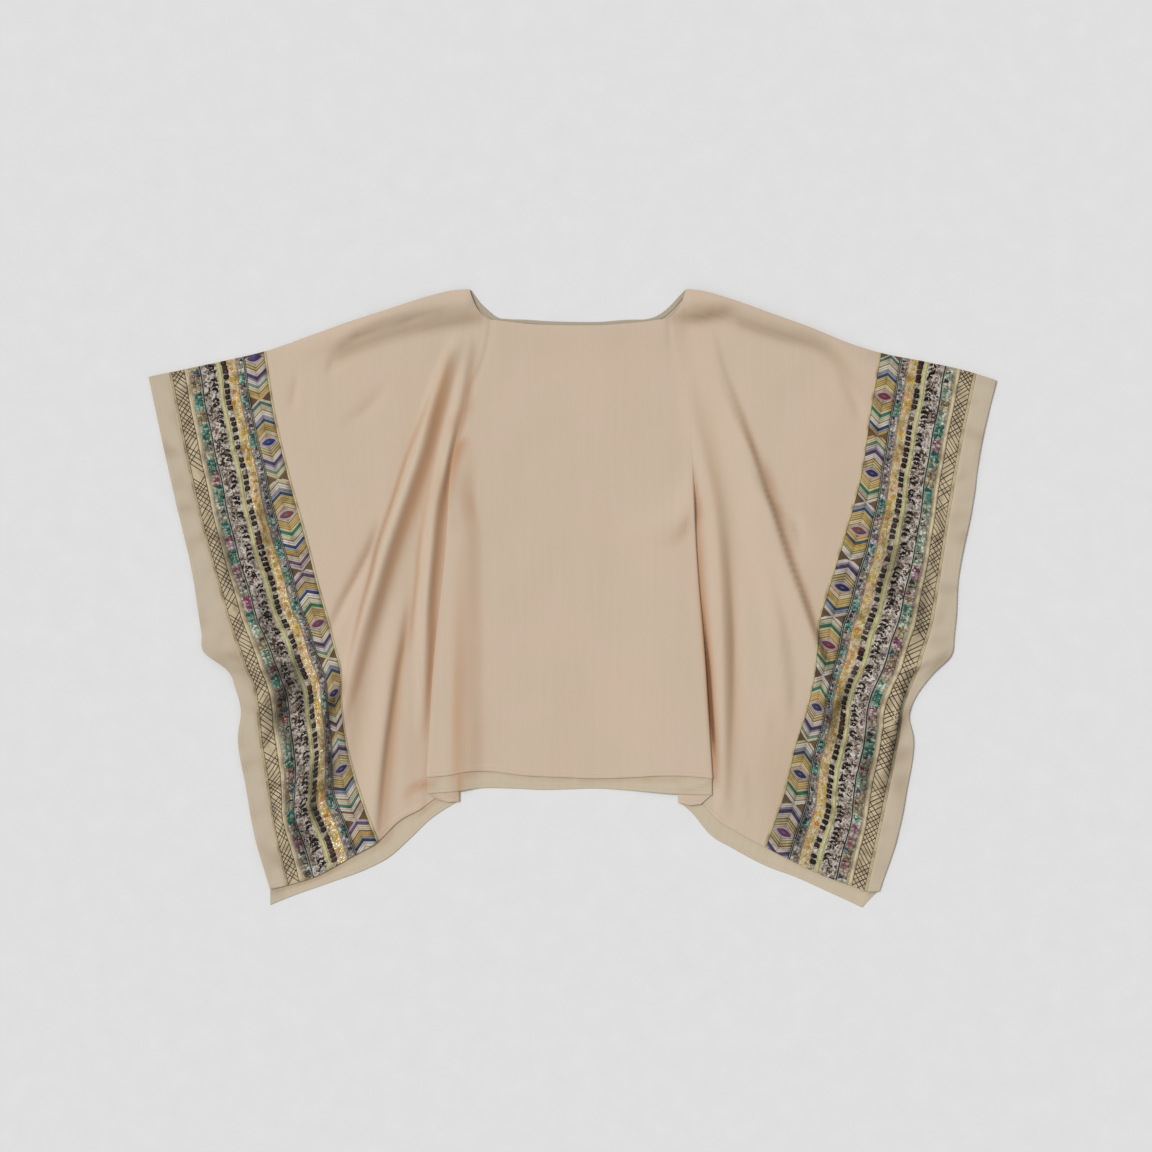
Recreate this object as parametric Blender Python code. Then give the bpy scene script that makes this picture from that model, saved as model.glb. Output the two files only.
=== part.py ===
"""A light woven poncho with a square neck, laid flat on its back with its front up.

It is cut as a front and a back of the same width, joined along the shoulders. A long
line of sewing below each arm parts the body from the open wings. Laid out, that line
slips inwards under the body, so a double pleat of front and back cloth lies along each
side of the body, deepest at the hem. A patterned band is sewn down each wing of the
front, a little inside its open cuff edge, and a narrow strip binds the back of the neck.

The cloth is worked out row by row. A row is one station down the garment, from the
shoulder and neck edge (0) to the hem (1). Across a row, the way runs from the cuff edge
(0) over the marks below to the middle line (9), and each half is worked out on its own.
+X is to the right as seen from above, +Y is towards the neck, +Z is up.
"""

import math
from collections import namedtuple

import bmesh
import bpy
import numpy as np

MM = 0.001

# Cloth and seams.
WALL = 1.2 * MM
LAYER = 1.8 * MM  # from the middle of one layer to the middle of the next
BAND_WALL = 1.2 * MM
SEAM_GAP = 0.3 * MM
BINDING_WIDTH = 7 * MM
BINDING_WALL = 1.0 * MM
FRONT_REST = WALL / 2 + LAYER  # the front's middle where it lies on the back

# Marks along the way across one half of the garment.
CUFF, BAND_OUTER, BAND_INNER, FOOT, TUCK_END, EDGE_START, BODY, SHELF, LANDING, MIDDLE = range(10)

# The body cloth stays up past the tucked layers, then comes down to the floor.
SHELF_PAST = 4 * MM
NECK_FALL = 80 * MM
HEM_FALL = 46 * MM
NECK_FAN = 0.2  # share of the length over which the columns spread from the neck edge

# How far each line lies from the middle, in millimetres, at stations down each half. The
# pleat's turn is in degrees, loose is what its turns are wider than pressed flat, and tuck
# is how far it reaches under the body.
Station = namedtuple("Station", "down cuff band_outer band_inner edge turn loose tuck")
LEFT_STATIONS = (
    Station(0.000, 593, 565, 429, 143, 6, 20, 8),
    Station(0.125, 574, 547, 416, 142, 20, 10, 6),
    Station(0.250, 554, 528, 396, 155, 60, 2.5, 2),
    Station(0.375, 533, 504, 372, 165, 150, 0.2, 3),
    Station(0.500, 519, 478, 350, 176, 180, 0, 11),
    Station(0.540, 514, 468, 342, 178, 180, 0, 14),
    Station(0.570, 484, 460, 337, 180, 180, 0, 16),
    Station(0.610, 471, 448, 330, 183, 180, 0, 19),
    Station(0.650, 464, 443, 323, 186, 180, 0, 22),
    Station(0.700, 468, 440, 322, 190, 180, 0, 26),
    Station(0.800, 457, 429, 315, 196, 180, 0, 32),
    Station(0.900, 444, 417, 296, 200, 180, 0, 38),
    Station(1.000, 423, 401, 271, 204, 180, 0, 42),
)
RIGHT_STATIONS = (
    Station(0.000, 593, 565, 429, 159, 6, 20, 8),
    Station(0.125, 572, 546, 414, 160, 20, 10, 6),
    Station(0.250, 559, 530, 401, 162, 60, 2.5, 2),
    Station(0.375, 541, 516, 377, 165, 150, 0.2, 3),
    Station(0.500, 534, 500, 351, 172, 180, 0, 11),
    Station(0.540, 529, 491, 343, 174, 180, 0, 14),
    Station(0.570, 507, 484, 341, 176, 180, 0, 16),
    Station(0.610, 484, 472, 339, 178, 180, 0, 19),
    Station(0.650, 471, 462, 337, 181, 180, 0, 22),
    Station(0.700, 477, 457, 330, 184, 180, 0, 27),
    Station(0.800, 468, 443, 309, 190, 180, 0, 34),
    Station(0.900, 453, 428, 292, 193, 180, 0, 40),
    Station(1.000, 429, 412, 267, 196, 180, 0, 44),
)

# Edges as seen from above, in millimetres out from the middle and up towards the neck.
Point = namedtuple("Point", "out up")
LEFT_SHOULDER = (Point(130, 431), Point(172, 428), Point(200, 421), Point(256, 403), Point(312, 385),
                 Point(368, 365), Point(429, 344), Point(480, 332), Point(536, 320), Point(593, 308))
RIGHT_SHOULDER = (Point(145, 431), Point(176, 429), Point(217, 418), Point(276, 397), Point(332, 377),
                  Point(389, 354), Point(429, 342), Point(500, 328), Point(556, 315), Point(593, 303))
LEFT_FRONT_HEM = (Point(160, -274), Point(189, -280), Point(211, -296), Point(243, -314), Point(271, -341),
                  Point(310, -364), Point(359, -391), Point(401, -404), Point(423, -409))
LEFT_BACK_HEM = (Point(160, -288), Point(172, -302), Point(200, -317), Point(228, -339), Point(256, -364),
                 Point(284, -379), Point(340, -400), Point(396, -420), Point(423, -431))
RIGHT_FRONT_HEM = (Point(152, -270), Point(178, -284), Point(197, -306), Point(236, -332), Point(266, -348),
                   Point(342, -386), Point(390, -404), Point(412, -412), Point(429, -412))
RIGHT_BACK_HEM = (Point(150, -288), Point(165, -300), Point(193, -333), Point(221, -350), Point(277, -379),
                  Point(305, -398), Point(361, -423), Point(407, -431), Point(429, -418))
LEFT_FRONT_BODY_HEM = (Point(0, -253), Point(24, -252), Point(66, -250), Point(117, -244),
                       Point(142, -244), Point(178, -250), Point(204, -252))
LEFT_BACK_BODY_HEM = (Point(0, -269), Point(41, -270), Point(85, -268), Point(132, -268),
                      Point(163, -272), Point(204, -275))
RIGHT_FRONT_BODY_HEM = (Point(0, -253), Point(24, -254), Point(71, -253), Point(134, -250),
                        Point(164, -251), Point(196, -254))
RIGHT_BACK_BODY_HEM = (Point(0, -269), Point(24, -268), Point(71, -270), Point(134, -275), Point(196, -277))

# The neck edge, by its marks along the way.
Neck = namedtuple("Neck", "way out up")
LEFT_FRONT_NECK = (Neck(6, 143, 431), Neck(6.3, 139, 407), Neck(6.6, 134, 396), Neck(7, 128, 388),
                   Neck(7.5, 108, 386), Neck(8, 80, 384), Neck(8.5, 45, 381), Neck(9, 0, 380))
RIGHT_FRONT_NECK = (Neck(6, 159, 431), Neck(6.3, 156, 418), Neck(6.6, 149, 405), Neck(7, 136, 389),
                    Neck(7.5, 111, 387), Neck(8, 80, 383), Neck(8.5, 40, 380), Neck(9, 0, 380))
LEFT_BACK_NECK = (Neck(6, 143, 431), Neck(6.3, 130, 413), Neck(6.6, 120, 403), Neck(7, 106, 392),
                  Neck(7.5, 90, 389), Neck(8, 64, 388), Neck(8.5, 34, 386), Neck(9, 0, 385))
RIGHT_BACK_NECK = (Neck(6, 159, 431), Neck(6.3, 149, 421), Neck(6.6, 139, 410), Neck(7, 124, 397),
                   Neck(7.5, 104, 389), Neck(8, 76, 388), Neck(8.5, 36, 385), Neck(9, 0, 385))

# The folds that stand up in the front's wings: the places a ridge runs through with its
# height, and how far it spreads on its side towards the cuff and on its side towards the body.
Ridge = namedtuple("Ridge", "out up height")
Fold = namedtuple("Fold", "cuff_side body_side ridges")
LEFT_FOLDS = (
    Fold(9, 26, (Ridge(158, 372, 1), Ridge(197, 262, 8), Ridge(219, 209, 11), Ridge(259, 104, 12),
                 Ridge(291, -11, 11), Ridge(327, -133, 8), Ridge(357, -242, 4), Ridge(393, -378, 0))),
    Fold(8, 14, (Ridge(150, 360, 1), Ridge(173, 262, 5), Ridge(197, 157, 7), Ridge(214, 45, 5),
                 Ridge(222, -60, 4), Ridge(233, -172, 0))),
    Fold(10, 15, (Ridge(242, -4, 0), Ridge(263, -130, 3), Ridge(281, -228, 3), Ridge(287, -325, 1))),
    Fold(12, 9, (Ridge(512, -78, 0), Ridge(477, -91, 5), Ridge(441, -99, 6), Ridge(404, -94, 0))),
    Fold(9, 12, (Ridge(449, -55, 0), Ridge(427, -130, 5), Ridge(408, -200, 5), Ridge(393, -277, 0))),
    Fold(10, 12, (Ridge(156, 410, 1), Ridge(200, 402, 4), Ridge(256, 387, 4), Ridge(312, 367, 3),
                  Ridge(368, 350, 0))),
)
RIGHT_FOLDS = (
    Fold(9, 28, (Ridge(196, 363, 1), Ridge(217, 287, 6), Ridge(257, 185, 11), Ridge(290, 73, 12),
                 Ridge(322, -27, 9), Ridge(352, -105, 5), Ridge(384, -182, 0))),
    Fold(8, 9, (Ridge(170, 290, 1), Ridge(174, 240, 5), Ridge(189, 164, 7), Ridge(205, 73, 6),
                Ridge(212, -32, 4), Ridge(209, -144, 3), Ridge(206, -228, 1))),
    Fold(12, 14, (Ridge(227, 178, 0), Ridge(251, 108, 2), Ridge(283, -32, 3), Ridge(301, -200, 0))),
    Fold(12, 9, (Ridge(528, -69, 0), Ridge(497, -88, 6), Ridge(469, -99, 5), Ridge(444, -94, 0))),
    Fold(9, 12, (Ridge(465, -60, 0), Ridge(453, -144, 5), Ridge(436, -228, 5), Ridge(427, -284, 0))),
    Fold(10, 12, (Ridge(172, 412, 1), Ridge(220, 408, 4), Ridge(276, 389, 4), Ridge(332, 371, 3),
                  Ridge(400, 345, 0))),
)
FOLD_START = 2 * MM  # from the body's edge out to where the folds begin
FOLD_CLEAR = 16 * MM  # and the stretch over which they gain their height
SWELL = 2.5 * MM  # the front's wings lie a little above the back between their edges
SWELL_IN_BAND = 60 * MM  # how far the swell runs in under the band, and as far out of it
NECK_LIFT = 1.4 * MM  # the front's neck edge rides over the binding
NECK_LIFT_REACH = 30 * MM

Side = namedtuple(
    "Side",
    "sign stations shoulder front_hem back_hem front_body_hem back_body_hem front_neck back_neck folds",
)
LEFT = Side(-1, LEFT_STATIONS, LEFT_SHOULDER, LEFT_FRONT_HEM, LEFT_BACK_HEM, LEFT_FRONT_BODY_HEM,
            LEFT_BACK_BODY_HEM, LEFT_FRONT_NECK, LEFT_BACK_NECK, LEFT_FOLDS)
RIGHT = Side(1, RIGHT_STATIONS, RIGHT_SHOULDER, RIGHT_FRONT_HEM, RIGHT_BACK_HEM, RIGHT_FRONT_BODY_HEM,
             RIGHT_BACK_BODY_HEM, RIGHT_FRONT_NECK, RIGHT_BACK_NECK, RIGHT_FOLDS)

# Rows between one station and the next, and columns between one mark and the next.
ROWS = (3, 3, 3, 3, 1, 1, 1, 1, 1, 3, 3, 3)
FRONT_COLUMNS = (1, 5, 13, 3, 1, 3, 2, 3, 2)
BACK_COLUMNS = (1, 3, 5, 3, 1, 3, 2, 3, 2)


def column(rows, name):
    return np.array([getattr(row, name) for row in rows], float)


def through(marks, values, at):
    """A smooth curve through the values at the marks, read at one place or at many."""
    slopes = np.gradient(values, marks)
    at = np.clip(at, marks[0], marks[-1])
    left = np.clip(np.searchsorted(marks, at, side="right") - 1, 0, len(marks) - 2)
    span = marks[left + 1] - marks[left]
    t = (at - marks[left]) / span
    return (
        (1 + 2 * t) * (1 - t) ** 2 * values[left]
        + t * (1 - t) ** 2 * span * slopes[left]
        + t * t * (3 - 2 * t) * values[left + 1]
        + t * t * (t - 1) * span * slopes[left + 1]
    )


def step(low, high, value):
    """0 below low, 1 above high, and a soft rise between."""
    t = np.clip((value - low) / (high - low), 0, 1)
    return t * t * (3 - 2 * t)


def edge_line(points, out):
    """How far up the edge through these points lies, at distances out from the middle."""
    return through(column(points, "out") * MM, column(points, "up") * MM, out)


def steps_between(counts, marks):
    """The marks with even steps between them: one count for each stretch."""
    stretches = [np.linspace(a, b, n, endpoint=False) for a, b, n in zip(marks, marks[1:], counts)]
    return np.append(np.concatenate(stretches), marks[-1])


def section(side, neck, down, way):
    """The front's middle across one half at one station: out, rise and lean of the cloth.

    The lean is the angle by which the cloth has turned over from lying face up: 0 on the
    wing and body, and half a turn on the tuck, which lies face down between them.
    """
    downs = column(side.stations, "down")
    at = {name: through(downs, column(side.stations, name), down) for name in Station._fields[1:]}
    turn = math.radians(min(at.pop("turn"), 180))
    cuff, band_outer, band_inner, edge, loose, tuck = (value * MM for value in at.values())
    inner = LAYER / 2 + max(loose, 0)
    outer = LAYER * 3 / 2 + max(loose, 0)

    body = edge - outer * (1 - math.cos(turn)) / 2
    body_rise = FRONT_REST + (inner + outer) * (1 - math.cos(turn)) + tuck * math.sin(turn)
    edge_start = body + outer * math.sin(turn)
    edge_start_rise = body_rise - outer * (1 - math.cos(turn))
    tuck_end = edge_start + tuck * math.cos(turn)
    tuck_end_rise = edge_start_rise - tuck * math.sin(turn)
    foot = tuck_end + inner * math.sin(turn)
    shelf = min(body, tuck_end) - SHELF_PAST
    landing = shelf - NECK_FALL - (HEM_FALL - NECK_FALL) * down

    ends = np.array([cuff, band_outer, band_inner, foot, tuck_end, edge_start, body, shelf, landing, 0])
    out = np.interp(way, np.arange(10), ends)
    neck_out = through(column(neck, "way"), column(neck, "out") * MM, way)
    near_neck = 1 - step(0, NECK_FAN, down)
    out = np.where(way > BODY, near_neck * neck_out + (1 - near_neck) * out, out)

    lean = np.zeros_like(way)
    rise = np.full_like(way, FRONT_REST)
    in_inner = (way > FOOT) & (way <= TUCK_END)
    lean = np.where(in_inner, turn * (way - FOOT), lean)
    out = np.where(in_inner, tuck_end + inner * (math.sin(turn) - np.sin(lean)), out)
    rise = np.where(in_inner, tuck_end_rise - inner * (np.cos(lean) - math.cos(turn)), rise)
    in_tuck = (way > TUCK_END) & (way <= EDGE_START)
    lean = np.where(in_tuck, turn, lean)
    along = way - TUCK_END
    rise = np.where(in_tuck, tuck_end_rise + along * (edge_start_rise - tuck_end_rise), rise)
    in_outer = (way > EDGE_START) & (way <= BODY)
    lean = np.where(in_outer, turn * (BODY - way), lean)
    out = np.where(in_outer, body + outer * np.sin(lean), out)
    rise = np.where(in_outer, body_rise - outer * (1 - np.cos(lean)), rise)
    standing = step(landing, shelf, out)
    rise = np.where(way > BODY, FRONT_REST + (body_rise - FRONT_REST) * standing, rise)
    return out, rise, lean


def fold_rise(fold, out, up):
    """How high one fold stands at each place."""
    marks = np.arange(len(fold.ridges), dtype=float)
    along = np.linspace(0, marks[-1], 12 * len(marks))
    line = [through(marks, column(fold.ridges, name) * MM, along) for name in Ridge._fields]
    gap_out = out[..., None] - line[0]
    gap_up = up[..., None] - line[1]
    near = np.argmin(gap_out**2 + gap_up**2, axis=-1)
    gap_out = np.take_along_axis(gap_out, near[..., None], -1)[..., 0]
    gap_up = np.take_along_axis(gap_up, near[..., None], -1)[..., 0]
    run_out = np.gradient(line[0])[near]
    run_up = np.gradient(line[1])[near]
    cuff_side = run_out * gap_up - run_up * gap_out > 0
    spread = np.where(cuff_side, fold.cuff_side, fold.body_side) * MM
    return line[2][near] * np.exp(-(gap_out**2 + gap_up**2) / spread**2)


def front_row(side, down, way):
    """The front's middle across one half at one station: across, up and rise."""
    out, rise, _ = section(side, side.front_neck, down, way)
    top_out = section(side, side.front_neck, 0, way)[0]
    hem_out = section(side, side.front_neck, 1, way)[0]
    neck_up = through(column(side.front_neck, "way"), column(side.front_neck, "up") * MM, way)
    top = np.where(way > BODY, neck_up, edge_line(side.shoulder, top_out))
    tucked = np.clip((way - TUCK_END) / (EDGE_START - TUCK_END), 0, 1)
    body_hem = edge_line(side.front_body_hem, hem_out)
    hem = (1 - tucked) * edge_line(side.front_hem, hem_out) + tucked * body_hem
    up = (1 - down) * top + down * hem

    edge = through(column(side.stations, "down"), column(side.stations, "edge"), down) * MM
    band_inner = through(column(side.stations, "down"), column(side.stations, "band_inner"), down) * MM
    starts = edge + FOLD_START
    on_wing = np.where(way < FOOT, step(starts, starts + FOLD_CLEAR, out), 0)
    for fold in side.folds:
        rise = rise + on_wing * fold_rise(fold, out, up)
    swelling = step(edge, (edge + band_inner) / 2, out)
    swelling = swelling * (1 - step(band_inner - SWELL_IN_BAND, band_inner + SWELL_IN_BAND, out))
    rise = rise + SWELL * on_wing * swelling * math.sin(math.pi * down) ** 0.5
    from_neck = np.where(way > BODY, top - up, np.hypot(top - up, out - edge))
    rise = rise + NECK_LIFT * np.exp(-((from_neck / NECK_LIFT_REACH) ** 2))
    return side.sign * out, up, rise


def back_row(side, down, way):
    """The back's middle: the front's, moved one layer to its under side, without the folds."""
    out, rise, lean = section(side, side.front_neck, down, way)
    across, up, _ = front_row(side, down, way)
    return across - side.sign * LAYER * np.sin(lean), up, rise - LAYER * np.cos(lean)


def back_neck_row(side, way):
    """The back's first row: the shoulder line and the back's own neck edge."""
    out, rise, lean = section(side, side.back_neck, 0, way)
    across, up, _ = back_row(side, 0, way)
    neck_up = through(column(side.back_neck, "way"), column(side.back_neck, "up") * MM, way)
    across = np.where(way > BODY, side.sign * out, across)
    return across, np.where(way > BODY, neck_up, up), rise - LAYER * np.cos(lean)


def back_hem_row(side, way):
    """The back's last row: its hem, which hangs a little lower than the front's."""
    across, up, rise = back_row(side, 1, way)
    out = np.abs(across)
    tucked = np.clip((way - TUCK_END) / (EDGE_START - TUCK_END), 0, 1)
    wing_hem = edge_line(side.back_hem, out)
    body_hem = edge_line(side.back_body_hem, out)
    return across, (1 - tucked) * wing_hem + tucked * body_hem, rise


def both_halves(row, *at, columns):
    """One row from the left cuff edge to the right one, as a list of places."""
    way = steps_between(columns, range(10))
    left = np.stack(row(LEFT, *at, way), axis=-1)
    right = np.stack(row(RIGHT, *at, way), axis=-1)
    return np.concatenate([left, right[-2::-1]])


def add_sheet(name, rows, wall, lift=0.0):
    """A sheet of cloth through rows of places, its wall the given lift above its middle."""
    places = np.array(rows)
    down_count, across_count = places.shape[0] - 1, places.shape[1] - 1
    mesh = bpy.data.meshes.new(name)
    bm = bmesh.new()
    bmesh.ops.create_grid(bm, x_segments=across_count, y_segments=down_count, size=0.5)
    for vert in bm.verts:
        across = round((vert.co.x + 0.5) * across_count)
        down = round((0.5 - vert.co.y) * down_count)
        vert.co = places[down, across]
    left = [face for face in bm.faces if face.calc_center_median().x < 0]
    bmesh.ops.triangulate(bm, faces=left, quad_method="FIXED")
    right = [face for face in bm.faces if len(face.verts) > 3]
    bmesh.ops.triangulate(bm, faces=right, quad_method="ALTERNATE")
    bm.to_mesh(mesh)
    bm.free()
    mesh.shade_smooth()
    sheet = bpy.data.objects.new(name, mesh)
    bpy.context.scene.collection.objects.link(sheet)
    solid = sheet.modifiers.new("wall", "SOLIDIFY")
    solid.thickness = wall
    solid.offset = 2 * lift / wall
    solid.use_even_offset = True
    return sheet


def add_front():
    downs = steps_between(ROWS, column(LEFT_STATIONS, "down"))
    rows = [both_halves(front_row, down, columns=FRONT_COLUMNS) for down in downs]
    return add_sheet("front_panel", rows, WALL)


def add_back():
    downs = steps_between(ROWS, column(LEFT_STATIONS, "down"))
    rows = [both_halves(back_neck_row, columns=BACK_COLUMNS)]
    rows += [both_halves(back_row, down, columns=BACK_COLUMNS) for down in downs[1:]]
    rows.append(both_halves(back_hem_row, columns=BACK_COLUMNS))
    return add_sheet("back_panel", rows, WALL)


def add_band(name, side):
    """A band sewn on a wing of the front, made from the front's own places, moved out."""
    downs = steps_between(ROWS, column(side.stations, "down"))
    way = steps_between(FRONT_COLUMNS[BAND_OUTER:BAND_INNER], (BAND_OUTER, BAND_INNER))
    rows = [np.stack(front_row(side, down, way), axis=-1)[:: -side.sign] for down in downs]
    return add_sheet(name, rows, BAND_WALL, lift=WALL / 2 + SEAM_GAP + BAND_WALL / 2)


def add_neck_binding():
    """A narrow strip on the inside of the back, along its neck edge."""
    first = sum(BACK_COLUMNS[:BODY])
    second_down = LEFT_STATIONS[1].down / ROWS[0]
    edge = both_halves(back_neck_row, columns=BACK_COLUMNS)[first:-first]
    below = both_halves(back_row, second_down, columns=BACK_COLUMNS)[first:-first]
    share = BINDING_WIDTH / np.linalg.norm(below - edge, axis=1)[:, None]
    rows = [edge, edge + share * (below - edge)]
    return add_sheet("neck_binding", rows, BINDING_WALL, lift=WALL / 2 + SEAM_GAP + BINDING_WALL / 2)


def add_material(name, colour, roughness):
    material = bpy.data.materials.new(name)
    material.use_nodes = True
    shader = material.node_tree.nodes["Principled BSDF"]
    shader.inputs["Base Color"].default_value = (*colour, 1)
    shader.inputs["Roughness"].default_value = roughness
    shader.inputs["Metallic"].default_value = 0
    return material


def main():
    for thing in list(bpy.data.objects):
        bpy.data.objects.remove(thing)
    sand_cloth = add_material("sand crepe cloth", (0.58, 0.46, 0.35), 0.75)
    band_cloth = add_material("patterned woven band", (0.42, 0.36, 0.25), 0.8)
    binding_cloth = add_material("sand bias binding", (0.5, 0.42, 0.32), 0.8)
    pieces = (
        (add_front(), sand_cloth),
        (add_back(), sand_cloth),
        (add_band("band_left", LEFT), band_cloth),
        (add_band("band_right", RIGHT), band_cloth),
        (add_neck_binding(), binding_cloth),
    )
    poncho = bpy.data.objects.new("poncho", None)
    bpy.context.scene.collection.objects.link(poncho)
    for piece, material in pieces:
        piece.data.materials.append(material)
        piece.parent = poncho


main()
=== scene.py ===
"""Looks of a light woven poncho with patterned bands, laid flat with its front up.

The cloth follows the same rows of places as its solids, drawn finer, with the smaller
creases added. A row is one station down the garment, from the shoulder and neck edge (0)
to the hem (1). Across a row, the way runs from the cuff edge (0) over the marks below to
the middle line (9). What is sewn on a band is set out flat first, across and along the
band with its height, and is then laid on the band's surface.
"""

import math
import random
from collections import namedtuple
from functools import partial

import bmesh
import bpy
import numpy as np
from mathutils import Matrix, Vector, noise


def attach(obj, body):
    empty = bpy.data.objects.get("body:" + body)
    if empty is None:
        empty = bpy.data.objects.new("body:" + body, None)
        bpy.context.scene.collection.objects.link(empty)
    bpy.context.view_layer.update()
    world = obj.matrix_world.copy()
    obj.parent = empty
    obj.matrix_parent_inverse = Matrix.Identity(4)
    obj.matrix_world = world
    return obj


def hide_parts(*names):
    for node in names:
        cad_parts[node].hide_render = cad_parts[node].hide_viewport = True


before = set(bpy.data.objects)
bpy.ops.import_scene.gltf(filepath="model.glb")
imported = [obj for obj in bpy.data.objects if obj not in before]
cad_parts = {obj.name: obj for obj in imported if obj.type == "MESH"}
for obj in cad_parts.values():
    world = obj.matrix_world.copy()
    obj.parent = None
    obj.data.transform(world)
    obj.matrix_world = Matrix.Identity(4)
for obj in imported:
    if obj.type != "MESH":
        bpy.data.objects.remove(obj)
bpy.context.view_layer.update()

MM = 0.001


def table(kind, *rows):
    """Rows of plain values as rows of one kind, with their names."""
    return tuple(kind(*row) for row in rows)


# Cloth as it is seen: thinner than its solids, on the same middle.
LAYER = 1.3 * MM
CLOTH_WALL = 0.7 * MM
SOLID_WALL = 1.2 * MM
BAND_WALL = 0.6 * MM
BAND_LIFT = 0.85 * MM  # from the front cloth's middle to the band's
BAND_WIDTH = 138 * MM
BINDING_WIDTH = 7 * MM
BINDING_WALL = 0.5 * MM
BINDING_LIFT = 0.75 * MM  # from the back cloth's middle to the strip's
BELOW_NECK = 0.02  # the station that the strip points towards from the neck edge
FRONT_REST = SOLID_WALL / 2 + LAYER

# Marks along the way across one half of the garment.
CUFF, BAND_OUTER, BAND_INNER, FOOT, TUCK_END, EDGE_START, BODY, SHELF, LANDING, MIDDLE = range(10)

SHELF_PAST = 2 * MM
SHELF_EASE = 0.4  # of the way past the shelf over which the body's cloth starts to stray
NECK_FAN = 0.2

# How far each line lies from the middle, in millimetres, at stations down each half, with
# the pleat's turn in degrees, its looseness and its tuck.
Station = namedtuple("Station", "down cuff band_outer band_inner edge turn loose tuck")
LEFT_STATIONS = table(Station,
    (0.000, 593, 565, 429, 144, 0, 3, 8),
    (0.125, 574, 547, 416, 144, 0, 3, 6),
    (0.250, 554, 528, 396, 153, 6, 1, 1),
    (0.375, 533, 504, 372, 170, 96, 0.1, 1),
    (0.500, 519, 478, 350, 176, 180, 0, 11),
    (0.540, 514, 468, 342, 178, 180, 0, 14),
    (0.570, 484, 460, 337, 180, 180, 0, 16),
    (0.610, 471, 448, 330, 183, 180, 0, 19),
    (0.650, 464, 443, 323, 186, 180, 0, 22),
    (0.700, 468, 440, 322, 190, 180, 0, 26),
    (0.800, 457, 429, 315, 196, 180, 0, 32),
    (0.900, 444, 417, 296, 200, 180, 0, 38),
    (1.000, 423, 401, 271, 204, 180, 0, 42),
)
RIGHT_STATIONS = table(Station,
    (0.000, 593, 565, 429, 159, 0, 3, 8),
    (0.125, 572, 546, 414, 160, 0, 3, 6),
    (0.250, 559, 530, 401, 162, 0, 1, 1),
    (0.375, 541, 516, 377, 167, 45, 0.1, 1),
    (0.500, 534, 500, 351, 172, 180, 0, 11),
    (0.540, 529, 491, 343, 173.5, 180, 0, 14),
    (0.570, 507, 484, 341, 175, 180, 0, 16),
    (0.610, 484, 472, 339, 177, 180, 0, 19),
    (0.650, 471, 462, 337, 179.5, 180, 0, 22),
    (0.700, 477, 457, 330, 182.5, 180, 0, 27),
    (0.800, 468, 443, 309, 187.5, 180, 0, 34),
    (0.900, 453, 428, 292, 191.5, 180, 0, 40),
    (1.000, 429, 412, 267, 196, 180, 0, 44),
)

# Edges as seen from above, in millimetres out from the middle and up towards the neck.
Point = namedtuple("Point", "out up")
LEFT_SHOULDER = table(Point,
    (130, 431), (172, 428), (200, 421), (256, 403), (312, 385), (368, 365), (429, 344), (480, 332),
    (536, 320), (593, 308),
)
RIGHT_SHOULDER = table(Point,
    (145, 431), (176, 429), (217, 418), (276, 397), (332, 377), (389, 354), (429, 342), (500, 328),
    (556, 315), (593, 303),
)
LEFT_FRONT_HEM = table(Point,
    (160, -274), (189, -280), (211, -296), (243, -314), (271, -341), (310, -364), (359, -391), (401, -404),
    (423, -409),
)
LEFT_BACK_HEM = table(Point,
    (160, -286), (172, -293), (200, -312), (228, -339), (256, -364), (284, -379), (340, -400), (396, -420),
    (423, -431),
)
RIGHT_FRONT_HEM = table(Point,
    (152, -270), (178, -284), (197, -306), (236, -332), (266, -348), (342, -386), (390, -404), (412, -412),
    (429, -412),
)
RIGHT_BACK_HEM = table(Point,
    (150, -288), (165, -300), (193, -333), (221, -350), (277, -379), (305, -389), (361, -414), (398, -431),
    (405, -434.5), (407, -434), (409, -431), (419, -420), (429, -411),
)
LEFT_FRONT_BODY_HEM = table(Point,
    (0, -253), (24, -252), (66, -250), (117, -244), (142, -244), (178, -250), (204, -252),
)
LEFT_BACK_BODY_HEM = table(Point,
    (0, -269), (41, -270), (85, -268), (132, -268), (163, -272), (204, -275),
)
RIGHT_FRONT_BODY_HEM = table(Point,
    (0, -253), (24, -254), (71, -253), (134, -250), (164, -251), (196, -254),
)
RIGHT_BACK_BODY_HEM = table(Point,
    (0, -269), (24, -268), (71, -270), (134, -275), (196, -277),
)

# The neck edge, by its marks along the way.
Neck = namedtuple("Neck", "way out up")
LEFT_FRONT_NECK = table(Neck,
    (6, 144, 431), (6.3, 140, 418), (6.6, 132, 402), (7, 119, 390), (7.5, 104, 387), (8, 80, 384),
    (8.5, 45, 381), (9, 0, 380),
)
RIGHT_FRONT_NECK = table(Neck,
    (6, 159, 431), (6.3, 155, 419), (6.6, 150, 407), (7, 138, 393), (7.5, 120, 388), (8, 84, 383.5),
    (8.5, 42, 380.5), (9, 0, 380),
)
LEFT_BACK_NECK = table(Neck,
    (6, 143, 431), (6.3, 130, 413), (6.6, 120, 403), (7, 106, 392), (7.5, 90, 389), (8, 64, 388),
    (8.5, 34, 386), (9, 0, 385),
)
RIGHT_BACK_NECK = table(Neck,
    (6, 159, 431), (6.3, 149, 421), (6.6, 139, 410), (7, 124, 397), (7.5, 104, 389), (8, 76, 388),
    (8.5, 36, 385), (9, 0, 385),
)

# Folds and creases of the front: the places that each runs through with its height, which
# is below nothing in a trough, and how far it spreads towards the cuff and towards the body.
Ridge = namedtuple("Ridge", "out up height")
Fold = namedtuple("Fold", "cuff_side body_side ridges")


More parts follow.
